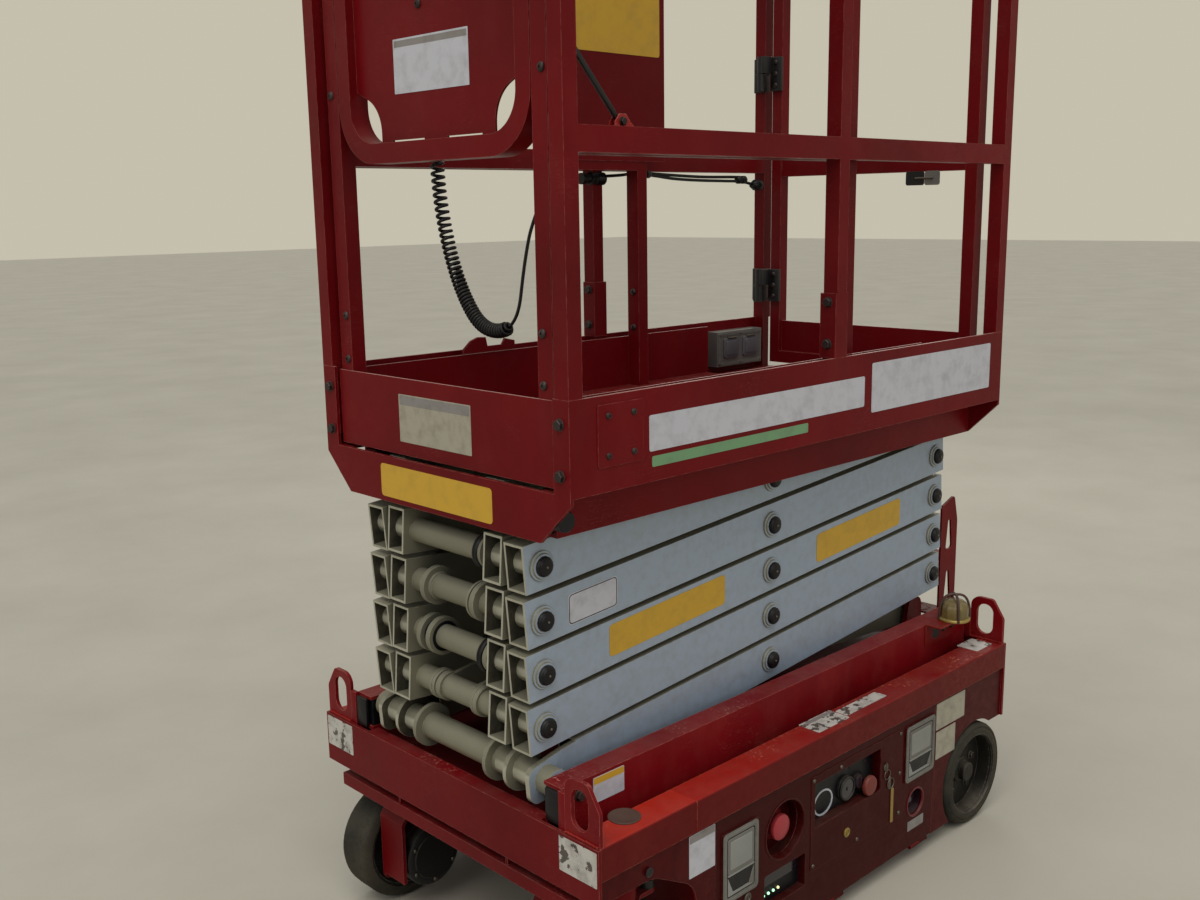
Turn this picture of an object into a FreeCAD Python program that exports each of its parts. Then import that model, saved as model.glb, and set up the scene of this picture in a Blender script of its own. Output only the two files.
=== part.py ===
import FreeCAD, Part
import math
import os

# A compact electric scissor lift, stowed. X points forward from the middle of the chassis,
# Y to the left and Z up from the floor. All sizes are in mm and all angles in degrees.

# Chassis
chassisLength = 1250.0
chassisWidth = 762.0
chassisTop = 382.0
plate = 6.0
panelSheet = 4.0
panelInset = 5.0
frontPlateBottom = 285.0
rearPlateBottom = 215.0
panelBottom = 33.0
coverWidth = 60.0
coverLip = 55.0
coverEdge = 3.0
coverStep = 1.0
coverSplit = 225.0
panDrop = 30.0
bellyBottom = 110.0
frontBay = 273.0
rearBay = 277.0
compartmentDepth = 132.0
frontStrip = 21.0
batteryWidth = 80.0
batteryHeight = 200.0
batteryMargin = 30.0

# Side panel beside the front wheel: the arch runs up from the panel's foot to its flat top
archFoot = 33.0
archKneeX = 52.0
archKneeZ = 232.0
archTopX = 148.0
archFootRound = 40.0
archKneeRound = 50.0
archTopRound = 70.0

# Doors, hinged along the bottom edge
doorGap = 2.0
doorBottom = 36.0
doorTopGap = 2.0
doorRibDepth = 16.0
doorRibInset = 12.0
doorHingeDrop = 3.0
doorHingeRadius = 5.0
doorHingePin = 2.5
doorHingeSpacing = 300.0
doorHingeLength = 30.0
doorFloorGap = 6.0
latchThick = 3.0
latchFrontX0 = 238.0
latchFrontX1 = 332.0
latchFrontZ0 = 162.0
latchFrontZ1 = 292.0
latchRearX0 = -340.0
latchRearX1 = -234.0
latchRearZ0 = 185.0
latchRearZ1 = 305.0
hornX = -279.0
hornZ = 130.0
hornRadius = 28.0
hornDepth = 22.0
pocketWall = 3.0
stopX = 157.0
stopZ = 237.0
stopPocket = 54.0
stopDepth = 34.0
stopHeadRadius = 25.0
stopStemRadius = 20.0
stopHeadDepth = 16.0
displayX0 = 95.0
displayX1 = 215.0
displayZ0 = 100.0
displayZ1 = 166.0
displayDepth = 22.0
panelX0 = -146.0
panelX1 = 68.0
panelZ0 = 204.0
panelZ1 = 291.0
panelDepth = 34.0
panelBoard = 14.0
pocketRound = 5.0
gaugeX = -54.0
gaugeRadius = 25.0
switchX = -97.0
switchRadius = 15.0
keyX = -128.0
keyRadius = 13.0
knobZ = 232.0

# Slide rails on the chassis
railSetIn = 138.0
railWidth = 43.0
railTop = 446.0
railFlange = 6.0
railSeat = 388.0
railSetback = 14.0

# Tie-down lugs
lugThick = 7.0
lugInnerY = 300.0
lugOuterY = 378.0
lugHeight = 96.0
lugShoulderY = 352.0
lugShoulderZ = 56.0
lugRound = 22.0
lugEdgeRound = 12.0
slotInnerY = 315.0
slotWidth = 39.0
slotLow = 14.0
slotHigh = 82.0

# Front cross bar
barHeight = 24.0
barDepth = 16.0
barBottom = 244.0
barSetIn = 43.0
barSetback = 3.0
barHangerY = 150.0

# Wheels
wheelRadius = 113.0
wheelWidth = 76.0
tyreDepth = 22.0
tyreRounding = 7.0
rimSheet = 6.0
rimDish = 38.0
rimLip = 4.0
hubRadius = 27.0
hubLength = 14.0
axleRadius = 17.0
axleFlange = 45.0
axleFlangeThick = 5.0
axleEnd = 2.0
nutHeight = 12.0
nutExtra = 4.0
runningFit = 0.05
rearWheelSetback = 117.0
frontWheelSetback = 101.0
wheelWallGap = 12.0
archGap = 8.0

# Steering
kingPinSetIn = 51.0
frontWheelOffset = 8.0
kingPinRadius = 14.0
kingHousingRadius = 22.0
knuckleHalf = 72.0
knuckleBevel = 44.0
knucklePlate = 7.0
knuckleFloor = 65.0
knuckleLift = 14.0
knuckleRound = 12.0
knuckleShoulder = 200.0
knuckleGap = 6.0
knuckleTopGap = 5.0
knuckleDepth = 144.0
knuckleNose = 34.0
knuckleNoseRound = 30.0
kingPinEndGap = 2.0
motorRadius = 60.0
motorLength = 58.0
steerArm = 55.0
steerArmEnd = 13.0
steerArmRound = 12.0
tieRodRadius = 6.0
tieEyeRadius = 13.0
tieEyeHeight = 14.0
tiePinExtra = 3.0

# Scissor arms
levels = 5
pinSpan = 1165.5
pinPitch = 89.86
firstPinRise = 45.3
rearPinSetback = 41.5
armHeight = 80.0
armWidth = 46.0
armWall = 4.0
armOverhang = 34.0
topArmOverhang = 26.0
armRailGap = 31.0
armGap = 10.0
pinRadius = 16.0
sleeveRadius = 21.0
collarRadius = 24.0
collarThick = 3.0
capRadius = 18.0
capTipRadius = 12.0
capHeight = 10.0
shaftEnd = 4.0
boreEnd = 6.0
footTubeRadius = 24.0
footTrim = 70.0
footEarRadius = 36.0
footEarThick = 10.0
footEarBack = 60.0
footRingRadius = 39.0
footRingWidth = 8.0
slideBlockLength = 64.0
slideGap = 1.0
slidePinRadius = 10.0
ringSmall = 5.0
ringMedium = 8.0
ringLarge = 13.0
ringWidth = 11.0
pivotEarThick = 12.0
pivotEarGap = 8.0
pivotEarHalf = 32.0

# Lift cylinder
barrelFromPin = 347.5
barrelAbovePin = 8.7
barrelRadius = 34.0
barrelCollar = 4.0
barrelShort = 97.0
barrelHeel = 50.0
barrelHead = 40.0
boreStart = 60.0
rodStart = 127.0
rodRadius = 20.0
eyeRadius = 28.0
eyeOverlap = 4.0
lugInner = 34.0
lugPlate = 8.0
footHalf = 40.0
footTop = 22.0
cylinderLugBack = 163.5
cylinderLugAbove = 32.0
cylinderLugHalf = 24.0
cylinderBoss = 16.0

# Platform
platformFrontGap = 6.0
platformRearOut = 17.0
platformWidth = 656.0
deckRise = 65.4
toeHeight = 122.0
skirtDrop = 25.0
skirtSheet = 6.0
skirtFlange = 4.0
channelGap = 15.0
channelWidth = 32.0
channelDrop = 36.6
channelHeight = 74.0
channelFrontGap = 28.0
channelEnd = 12.0
channelEndLength = 40.0
slideSideGap = 3.0
cornerFlange = 36.0
endPlateShoulder = 10.0

# Guardrails
guardHeight = 1068.0
midRailHeight = 490.0
railTube = 38.0
railTubeY = 30.0
railWall = 3.0
postDepth = 28.0
midPostX = -50.0
sleeveExtra = 4.0
sleeveHeight = 116.0
socketX0 = -595.0
socketX1 = -430.0
socketDepth = 34.0
socketLow = 16.0
socketHigh = 99.0

# Extension deck
extensionSetIn = 41.0
extensionGap = 5.0
extensionRear = -390.0
extensionToe = 117.0
extensionDrop = 15.0
extensionSetback = 14.0
extensionSheet = 4.0
extensionNoseGap = 7.0
slideStripWidth = 20.0
slideStripGap = 0.1
extensionPostX = -137.0
extensionTube = 33.0
sidePanelRear = -205.0
sidePanelFront = 75.0
sidePanelThick = 2.0
openingGap = 6.0

# Front hoop
hoopTube = 33.0
hoopDepth = 36.0
hoopCorner = 95.0
hoopSideGap = 2.0
hoopSheet = 4.0
hoopHoleFoot = 148.0
hoopHoleKnee = 56.0
hoopHoleTop = 87.0
hoopHoleRound = 60.0
hoopSheetTop = 190.0
hoopSlotStart = 30.0
hoopSlotLength = 87.0
hoopSlotHeight = 4.0
hoopTabHalf = 20.0
hoopTabRise = 130.0

# Control box in the hoop
controlY0 = -150.0
controlY1 = 20.0
controlBottomDrop = 310.0
controlTopDrop = 130.0
controlDepth = 120.0
controlSlope = 60.0
controlRound = 10.0
stickRadius = 12.0
stickBack = 70.0
stickLength = 70.0
gripRadius = 19.0
gripLength = 60.0

# Gate
gateHalfWidth = 271.0
gateTube = 28.0
gateLift = 15.0
gateTopDrop = 18.0
gateCorner = 70.0
gateToe = 102.0
gateSheet = 6.0
gateMidRise = 481.0
gateMidHeight = 40.0
gateMidDepth = 20.0
hingeLow = 203.0
hingeHigh = 698.0
hingeHalf = 38.0
hingeReach = 36.0
hingeY = -279.0
hingeLeaf = 7.0
hingeArm = 6.0
hingeBarrel = 7.0
hingePin = 4.0
hingeLeafWidth = 40.0

# Ladder
ladderReach = 87.0
ladderTop = 676.0
ladderBottom = 225.0
ladderHalfWidth = 201.0
ladderGap = 19.0
ladderSheet = 5.0
ladderRound = 8.0
ladderStepLow = 37.0
ladderStepPitch = 137.0
ladderStepThick = 4.0
ladderStepNose = 26.0
ladderSlotLow = 205.0
ladderSlotPitch = 122.0
ladderSlotHeight = 70.0
ladderSlotWidth = 28.0
ladderCut = 60.0

# Beacon
beaconSetback = 109.0
beaconOut = 28.0
beaconLift = 2.0
beaconPlate = 36.0
beaconBase = 26.0
beaconTip = 14.0
beaconHeight = 27.0
beaconGuardHalf = 34.0
beaconGuardHeight = 44.0
beaconGuardBend = 16.0
beaconGuardRod = 3.0
beaconLeg = 50.0

# Cord from the control box
cordBack = 67.0
cordRadius = 10.0

V = FreeCAD.Vector
frontX = chassisLength / 2
halfWidth = chassisWidth / 2
panelOut = halfWidth - panelInset
panelBack = panelOut - panelSheet
coverInner = halfWidth - coverWidth
coverUnder = chassisTop - panelSheet
panTop = chassisTop - panDrop
compartmentFront = frontX - frontBay
compartmentRear = rearBay - frontX
compartmentIn = panelOut - compartmentDepth
doorHingeY = panelBack
doorHingeZ = panelBottom - doorHingeDrop
railInner = halfWidth - railSetIn
railOuter = railInner + railWidth
rearWheelX = rearWheelSetback - frontX
rearWheelOut = halfWidth
rearWheelWall = rearWheelOut - wheelWidth - wheelWallGap
frontWheelX = frontX - frontWheelSetback
kingPinY = halfWidth - kingPinSetIn
frontWheelOut = kingPinY + frontWheelOffset
stowedAngle = math.degrees(math.asin(pinPitch / pinSpan))
firstPinZ = chassisTop + firstPinRise
rearPinX = rearPinSetback - frontX
frontPinX = rearPinX + pinSpan * math.cos(math.radians(stowedAngle))
outerArmOut = railInner - armRailGap
outerArmIn = outerArmOut - armWidth
innerArmOut = outerArmIn - armGap
innerArmIn = innerArmOut - armWidth
topPinZ = firstPinZ + levels * pinPitch
platformOut = platformWidth / 2
platformFront = frontX - platformFrontGap
platformRear = -frontX - platformRearOut
deckTop = topPinZ + deckRise
deckBottom = deckTop - plate
toeTop = deckTop + toeHeight
skirtBottom = deckTop - skirtDrop
channelInner = outerArmOut + channelGap
channelOut = channelInner + channelWidth
channelBottom = topPinZ - channelDrop
guardTop = deckTop + guardHeight
midRailZ = deckTop + midRailHeight
guardInner = platformOut - railTubeY
extensionOut = platformOut - extensionSetIn
extensionFloor = deckTop + extensionGap
extensionFront = frontX - extensionSetback
extensionPostIn = extensionOut - extensionSheet - extensionTube
hoopBottom = midRailZ - railTube / 2
hoopOut = extensionPostIn - hoopSideGap
hoopTop = guardTop - hoopSideGap
hoopBack = extensionFront - extensionSheet - hoopDepth
hingeX = platformRear + plate + gateTube + hingeReach
ladderRear = -frontX - ladderReach
cordX = extensionFront - cordBack

# The origin is on the floor, below the middle of the whole length with the ladder.
toOrigin = V(-(frontX + ladderRear) / 2, 0, 0)

pieces = {}


def keep(name, *solids):
    pieces[name] = list(solids)


def box(x0, x1, y0, y1, z0, z1):
    return Part.makeBox(x1 - x0, y1 - y0, z1 - z0, V(x0, y0, z0))


def sided(x0, x1, y0, y1, z0, z1, side):
    if side > 0:
        return box(x0, x1, y0, y1, z0, z1)
    return box(x0, x1, -y1, -y0, z0, z1)


def hollow(x0, x1, y0, y1, z0, z1, wall, along):
    inset = {"x": (0, wall, wall), "y": (wall, 0, wall), "z": (wall, wall, 0)}[along]
    inner = box(x0 + inset[0], x1 - inset[0], y0 + inset[1], y1 - inset[1], z0 + inset[2], z1 - inset[2])
    return box(x0, x1, y0, y1, z0, z1).cut(inner)


def rod(start, end, radius):
    axis = V(*end) - V(*start)
    return Part.makeCylinder(radius, axis.Length, V(*start), axis)


def barX(x0, x1, y, z, radius):
    return rod((x0, y, z), (x1, y, z), radius)


def barY(x, z, y0, y1, radius):
    return rod((x, y0, z), (x, y1, z), radius)


def barZ(x, y, z0, z1, radius):
    return rod((x, y, z0), (x, y, z1), radius)


def outline(corners):
    # Each corner is (a, b) or (a, b, radius), and a radius rounds that corner with an arc.
    points = [V(c[0], c[1], 0) for c in corners]
    count = len(corners)
    edges = []
    starts = []
    ends = []
    middles = []
    for i in range(count):
        here = points[i]
        radius = corners[i][2] if len(corners[i]) > 2 else 0
        if radius == 0:
            starts.append(here)
            ends.append(here)
            middles.append(None)
            continue
        back = (points[i - 1] - here).normalize()
        ahead = (points[(i + 1) % count] - here).normalize()
        half = back.getAngle(ahead) / 2
        reach = radius / math.tan(half)
        bisector = (back + ahead).normalize()
        centre = here + bisector * (radius / math.sin(half))
        starts.append(here + back * reach)
        ends.append(here + ahead * reach)
        middles.append(centre - bisector * radius)
    for i in range(count):
        if middles[i] is not None:
            edges.append(Part.Arc(starts[i], middles[i], ends[i]).toShape())
        following = starts[(i + 1) % count]
        if (following - ends[i]).Length > 1e-6:
            edges.append(Part.LineSegment(ends[i], following).toShape())
    return Part.Face(Part.Wire(edges))


def plateX(corners, x0, x1):
    # Corners are (y, z).
    solid = outline(corners).extrude(V(0, 0, x1 - x0))
    solid.rotate(V(0, 0, 0), V(1, 1, 1), 120)
    solid.translate(V(x0, 0, 0))
    return solid


def plateY(corners, y0, y1):
    # Corners are (x, z).
    solid = outline(corners).extrude(V(0, 0, y1 - y0))
    solid.rotate(V(0, 0, 0), V(1, 0, 0), 90)
    solid.translate(V(0, y1, 0))
    return solid


def plateZ(corners, z0, z1):
    solid = outline(corners).extrude(V(0, 0, z1 - z0))
    solid.translate(V(0, 0, z0))
    return solid


def frameX(y0, y1, z0, z1, corner, tubeWidth, x0, x1):
    outer = [(y0, z0, corner), (y1, z0, corner), (y1, z1, corner), (y0, z1, corner)]
    t = tubeWidth
    c = corner - t
    inner = [(y0 + t, z0 + t, c), (y1 - t, z0 + t, c), (y1 - t, z1 - t, c), (y0 + t, z1 - t, c)]
    return plateX(outer, x0, x1).cut(plateX(inner, x0 - 1, x1 + 1))


def joined(*shapes):
    first = shapes[0]
    return first.fuse(list(shapes[1:])).removeSplitter() if len(shapes) > 1 else first


def mirrored(shape):
    return shape.mirror(V(0, 0, 0), V(0, 1, 0))


def pair(shape):
    return [shape, mirrored(shape)]


def tube(route, radius):
    # The route is a list of points (x, y, z), with a bend radius after z at the inner ones.
    points = [V(*point[:3]) for point in route]
    edges = []
    last = points[0]
    for i in range(1, len(route) - 1):
        back = (points[i - 1] - points[i]).normalize()
        ahead = (points[i + 1] - points[i]).normalize()
        half = back.getAngle(ahead) / 2
        bend = route[i][3]
        bisector = (back + ahead).normalize()
        start = points[i] + back * (bend / math.tan(half))
        end = points[i] + ahead * (bend / math.tan(half))
        middle = points[i] + bisector * (bend / math.sin(half) - bend)
        if (start - last).Length > 1e-6:
            edges.append(Part.LineSegment(last, start).toShape())
        edges.append(Part.Arc(start, middle, end).toShape())
        last = end
    if (points[-1] - last).Length > 1e-6:
        edges.append(Part.LineSegment(last, points[-1]).toShape())
    direction = points[1] - points[0]
    profile = Part.Wire([Part.Circle(points[0], direction, radius).toShape()])
    return Part.Wire(edges).makePipeShell([profile], True, False)


def chassis():
    inner = compartmentIn
    doorBack = panelBack - doorFloorGap
    front = frontX - plate
    rear = plate - frontX
    barFront = frontX - barSetback
    barHalf = halfWidth - barSetIn
    shapes = [
        box(front, frontX, -halfWidth, halfWidth, frontPlateBottom, chassisTop),
        box(-frontX, rear, -halfWidth, halfWidth, rearPlateBottom, chassisTop),
        box(front - frontStrip, front, -railInner, railInner, coverUnder, chassisTop),
        box(rear, front, -panelOut, panelOut, panTop - plate, panTop),
        box(rear, compartmentFront, -inner, inner, bellyBottom, bellyBottom + plate),
        box(compartmentFront, compartmentFront + plate, -inner, inner, bellyBottom, panTop),
        box(rear, rear + plate, -inner, inner, bellyBottom, panTop),
        box(barFront - barDepth, barFront, -barHalf, barHalf, barBottom, barBottom + barHeight),
    ]
    for side in (1, -1):
        bulkFront = compartmentFront + plate
        bulkRear = compartmentRear - plate
        shapes += [
            sided(compartmentRear, bulkFront, inner, inner + plate, panelBottom, panTop, side),
            sided(compartmentRear, compartmentFront, inner, doorBack, panelBottom, panelBottom + plate, side),
            sided(compartmentFront, bulkFront, inner, panelOut, panelBottom, panTop, side),
            sided(bulkRear, compartmentRear, inner, panelOut, panelBottom, panTop, side),
            sided(rear, compartmentRear, rearWheelWall - plate, rearWheelWall, bellyBottom, panTop, side),
            sided(barFront - barDepth, front, barHangerY, barHangerY + plate, barBottom + plate, panTop, side),
        ]
        for x in (-doorHingeSpacing, 0, doorHingeSpacing):
            end = x + doorHingeLength
            tabIn = doorBack - 2 * doorHingeRadius
            shapes.append(sided(x + 1, end, tabIn, doorHingeY, doorHingeZ - 1, panelBottom + 1, side))
            shapes.append(barX(x + 1, end, side * doorHingeY, doorHingeZ, doorHingeRadius))
            shapes.append(barX(x - doorHingeLength + 2, end, side * doorHingeY, doorHingeZ, doorHingePin))
        shapes.append(barZ(frontWheelX, side * kingPinY, barBottom, panTop, kingHousingRadius))
        frontPanel = plateY(
            [
                (compartmentFront - panelSheet, panelBottom),
                (compartmentFront + archFoot, panelBottom),
                (compartmentFront + archFoot, archKneeZ - 1.5 * archKneeX, archFootRound),
                (compartmentFront + archKneeX, archKneeZ, archKneeRound),
                (compartmentFront + archTopX, frontPlateBottom, archTopRound),
                (front, frontPlateBottom),
                (front, coverUnder),
                (compartmentFront - panelSheet, coverUnder),
            ],
            panelBack,
            panelOut,
        )
        rearPanel = plateY(
            [
                (compartmentRear + panelSheet, panelBottom),
                (compartmentRear + panelSheet, coverUnder),
                (rear, coverUnder),
                (rear, rearPlateBottom),
                (rearWheelX, rearPlateBottom),
                (rearWheelX, panelBottom),
            ],
            panelBack,
            panelOut,
        )
        rearPanel = rearPanel.cut(barY(rearWheelX, wheelRadius, 0, halfWidth, wheelRadius + archGap))
        shapes += [frontPanel, rearPanel] if side > 0 else [mirrored(frontPanel), mirrored(rearPanel)]
    frame = joined(*shapes)
    for side in (1, -1):
        top = panTop - plate
        frame = frame.cut(barZ(frontWheelX, side * kingPinY, barBottom, top, kingPinRadius + runningFit))
    keep("chassis_frame", frame)


def covers():
    split = frontX - coverSplit
    runs = ((plate - frontX, split, halfWidth), (split, frontX - plate, halfWidth - coverStep))
    shapes = []
    for start, end, out in runs:
        section = [
            (coverInner, panTop),
            (coverInner + panelSheet, panTop),
            (coverInner + panelSheet, coverUnder),
            (halfWidth - panelSheet, coverUnder),
            (halfWidth - panelSheet, chassisTop - coverLip),
            (out, chassisTop - coverLip),
            (out, chassisTop, coverEdge),
            (coverInner, chassisTop),
        ]
        shapes.append(plateX(section, start, end))
    keep("side_covers", *pair(joined(*shapes)))


def slideRails():
    inner = railInner
    outer = railOuter
    t = railFlange
    section = [
        (outer, panTop),
        (outer, railTop),
        (inner, railTop),
        (inner, railTop - t),
        (outer - t, railTop - t),
        (outer - t, railSeat),
        (inner, railSeat),
        (inner, panTop),
        (inner + t, panTop),
        (inner + t, railSeat - t),
        (outer - t, railSeat - t),
        (outer - t, panTop),
    ]
    rail = plateX(section, railSetback - frontX, frontX - railSetback)
    keep("slide_rails", *pair(rail))


def lugs():
    solids = []
    face = frontX - plate
    plateShape = [
        (lugInnerY, chassisTop),
        (lugInnerY, chassisTop + lugHeight, lugRound),
        (lugShoulderY, chassisTop + lugHeight, lugEdgeRound),
        (lugOuterY, chassisTop + lugShoulderZ, lugEdgeRound),
        (lugOuterY, chassisTop),
    ]
    slotRound = slotWidth / 2 - 0.5
    slot = [
        (slotInnerY, chassisTop + slotLow, slotRound),
        (slotInnerY, chassisTop + slotHigh, slotRound),
        (slotInnerY + slotWidth, chassisTop + slotHigh, slotRound),
        (slotInnerY + slotWidth, chassisTop + slotLow, slotRound),
    ]
    for x0 in (face - lugThick, -face):
        lug = plateX(plateShape, x0, x0 + lugThick).cut(plateX(slot, x0 - 1, x0 + lugThick + 1))
        solids += pair(lug)
    keep("tie_down_lugs", *solids)


def pivotBrackets():
    top = firstPinZ + collarRadius
    half = pivotEarHalf
    earIn = innerArmOut + pivotEarGap
    earOut = earIn + pivotEarThick
    ear = plateY(
        [
            (rearPinX - half, panTop),
            (rearPinX - collarRadius, top, collarRadius - 4),
            (rearPinX + collarRadius, top, collarRadius - 4),
            (rearPinX + half + pivotEarThick, panTop),
        ],
        earIn,
        earOut,
    )
    pin = barY(rearPinX, firstPinZ, innerArmIn - shaftEnd, earOut, pinRadius)
    x = rearPinX + barrelFromPin
    z = firstPinZ + barrelAbovePin
    foot = plateY(
        [
            (x - footHalf, panTop),
            (x - cylinderLugHalf, z + footTop, footTop - 2),
            (x + cylinderLugHalf, z + footTop, footTop - 2),
            (x + footHalf, panTop),
        ],
        lugInner,
        lugInner + lugPlate,
    )
    foot = foot.cut(barY(x, z, 0, lugInner + lugPlate + 1, pinRadius + runningFit))
    keep("pivot_brackets", *pair(joined(ear, pin)), *pair(foot))


def rearAxles():
    wall = rearWheelWall
    face = rearWheelOut - rimDish + axleEnd
    flange = barY(rearWheelX, wheelRadius, wall, wall + axleFlangeThick, axleFlange)
    stub = barY(rearWheelX, wheelRadius, wall, face, axleRadius)
    nut = barY(rearWheelX, wheelRadius, face, face + nutHeight, axleRadius + nutExtra)
    keep("rear_axles", *pair(joined(flange, stub, nut)))


def wheelShapes(x, out, side):
    inner = out - wheelWidth
    tyreInner = wheelRadius - tyreDepth
    rimInner = tyreInner - rimSheet
    c = tyreRounding
    tyreSection = [
        (tyreInner, inner),
        (wheelRadius - c, inner),
        (wheelRadius, inner + c),
        (wheelRadius, out - c),
        (wheelRadius - c, out),
        (tyreInner, out),
    ]
    discOut = out - rimDish
    bore = axleRadius + runningFit
    rimSection = [
        (bore, discOut - hubLength),
        (hubRadius, discOut - hubLength),
        (hubRadius, discOut - rimSheet),
        (rimInner, discOut - rimSheet),
        (rimInner, inner + rimLip),
        (tyreInner, inner + rimLip),
        (tyreInner, out - rimLip),
        (rimInner, out - rimLip),
        (rimInner, discOut),
        (hubRadius, discOut),
        (bore, discOut),
    ]
    solids = []
    for section in (tyreSection, rimSection):
        face = Part.Face(Part.makePolygon([V(r, y, 0) for r, y in section + [section[0]]]))
        solid = face.revolve(V(0, 0, 0), V(0, 1, 0), 360)
        solid.translate(V(x, 0, wheelRadius))
        solids.append(solid if side > 0 else mirrored(solid))
    return solids


def wheels():
    places = (
        ("front_left", frontWheelX, frontWheelOut, 1),
        ("front_right", frontWheelX, frontWheelOut, -1),
        ("rear_left", rearWheelX, rearWheelOut, 1),
        ("rear_right", rearWheelX, rearWheelOut, -1),
    )
    for name, x, out, side in places:
        tyre, rim = wheelShapes(x, out, side)
        keep("tyre_" + name, tyre)
        keep("rim_" + name, rim)


def knuckles():
    x = frontWheelX
    wheelIn = frontWheelOut - wheelWidth
    sideOut = wheelIn - knuckleGap
    sideIn = sideOut - knucklePlate
    inner = kingPinY - knuckleDepth
    top = barBottom - knuckleTopGap
    under = top - knucklePlate
    bevel = knuckleBevel
    sidePlate = plateY(
        [
            (x - knuckleHalf, knuckleFloor, knuckleRound),
            (x + knuckleHalf, knuckleFloor, knuckleRound),
            (x + knuckleHalf, knuckleShoulder),
            (x + bevel, top),
            (x - bevel, top),
            (x - knuckleHalf, knuckleShoulder),
        ],
        sideIn,
        sideOut,
    )
    frontPlate = plateY(
        [
            (x + knuckleHalf - knucklePlate, knuckleFloor + knuckleLift),
            (x + knuckleHalf, knuckleFloor + knuckleLift),
            (x + knuckleHalf, knuckleShoulder),
            (x + bevel, top),
            (x + bevel - knucklePlate, top),
            (x + knuckleHalf - knucklePlate, knuckleShoulder - knucklePlate / 2),
        ],
        inner,
        sideIn,
    )
    topPlate = plateZ(
        [
            (x - bevel, inner),
            (x + bevel, inner),
            (x + bevel, kingPinY, knuckleNoseRound),
            (x, kingPinY + knuckleNose, knuckleNoseRound),
            (x - bevel, kingPinY, knuckleNoseRound),
        ],
        under,
        top,
    )
    end = steerArmEnd
    arm = plateZ(
        [
            (x - steerArm - end, kingPinY - end, steerArmRound),
            (x, kingPinY - 2 * end),
            (x, kingPinY + end),
            (x - steerArm - end, kingPinY + end, steerArmRound),
        ],
        under,
        top,
    )
    pin = barZ(x, kingPinY, under, panTop - plate - kingPinEndGap, kingPinRadius)
    tiePin = barZ(x - steerArm, kingPinY, under, top + tieEyeHeight + tiePinExtra, tieRodRadius)
    hubFace = frontWheelOut - rimDish + axleEnd
    motor = barY(x, wheelRadius, sideIn - motorLength, sideIn, motorRadius)
    stub = barY(x, wheelRadius, sideIn, hubFace, axleRadius)
    nut = barY(x, wheelRadius, hubFace, hubFace + nutHeight, axleRadius + nutExtra)
    knuckle = joined(sidePlate, frontPlate, topPlate, arm, pin, tiePin, stub, nut, motor)
    keep("knuckle_left", knuckle)
    keep("knuckle_right", mirrored(knuckle))


def tieRod():
    x = frontWheelX - steerArm
    low = barBottom - knuckleTopGap + 1
    high = low + tieEyeHeight
    middle = (low + high) / 2
    reach = kingPinY - tieEyeRadius / 2 - 2
    solids = [barY(x, middle, -reach, reach, tieRodRadius)]
    for side in (1, -1):
        solids.append(barZ(x, side * kingPinY, low, high, tieEyeRadius))
    rodShape = joined(*solids)
    for side in (1, -1):
        rodShape = rodShape.cut(barZ(x, side * kingPinY, low - 1, high + 1, tieRodRadius + runningFit))
    keep("tie_rod", rodShape)


def armPoint(along, above):
    # A point on the lowest inner arm: along from its rear pin, above its centre line.
    a = math.radians(stowedAngle)
    x = rearPinX + along * math.cos(a) - above * math.sin(a)
    z = firstPinZ + along * math.sin(a) + above * math.cos(a)
    return x, z


def turned(shape, kind, level):
    # Moves a shape drawn along X from the rear pin at the origin to its arm's stowed place.
    z = firstPinZ + (level - 1) * pinPitch if kind == "inner" else firstPinZ + level * pinPitch
    angle = -stowedAngle if kind == "inner" else stowedAngle
    shape.rotate(V(0, 0, 0), V(0, 1, 0), angle)
    shape.translate(V(rearPinX, 0, z))
    return shape


def outerArms(level):
    half = armHeight / 2
    frontEnd = pinSpan - footTrim if level == 1 else pinSpan + armOverhang
    shape = hollow(-armOverhang, frontEnd, outerArmIn, outerArmOut, -half, half, armWall, "x")
    places = [0, pinSpan / 2] + ([pinSpan] if level > 1 else [])
    extras = []
    for along in places:
        top = level == levels and along == 0
        shaftOut = channelInner + channelEnd if top else outerArmOut + collarThick
        shaftIn = outerArmIn - shaftEnd if top else innerArmIn - shaftEnd
        extras.append(barY(along, 0, shaftIn, shaftOut, pinRadius))
        extras.append(barY(along, 0, outerArmIn, outerArmOut, sleeveRadius))
        if not top:
            face = outerArmOut + collarThick
            extras.append(barY(along, 0, outerArmOut, face, collarRadius))
            extras.append(Part.makeCone(capRadius, capTipRadius, capHeight, V(along, face, 0), V(0, 1, 0)))
    if level == 1:
        earIn = outerArmOut - footEarThick
        r = footEarRadius
        ear = plateY(
            [
                (frontEnd - footEarBack, -half),
                (pinSpan - footEarThick, -r, footEarThick),
                (pinSpan + r, -r, r / 2),
                (pinSpan + r, r - footEarThick, r / 2),
                (pinSpan - r, r, footEarThick),
                (frontEnd - footEarBack, half),
            ],
            earIn,
            outerArmOut,
        )
        extras.append(ear)
        extras.append(barY(pinSpan, 0, 0, railInner - 2, footTubeRadius))
        extras.append(barY(pinSpan, 0, railInner - 2, railOuter - 2 * railFlange, slidePinRadius))
        for start in (innerArmIn - 2 * footRingWidth, innerArmOut - footRingWidth):
            extras.append(barY(pinSpan, 0, start, start + footRingWidth, footRingRadius))
    arm = turned(joined(shape, *extras), "outer", level)
    if level == 1:
        keep("outer_arms_1", joined(arm, mirrored(arm)))
    else:
        keep("outer_arms_%d" % level, *pair(arm))


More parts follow.
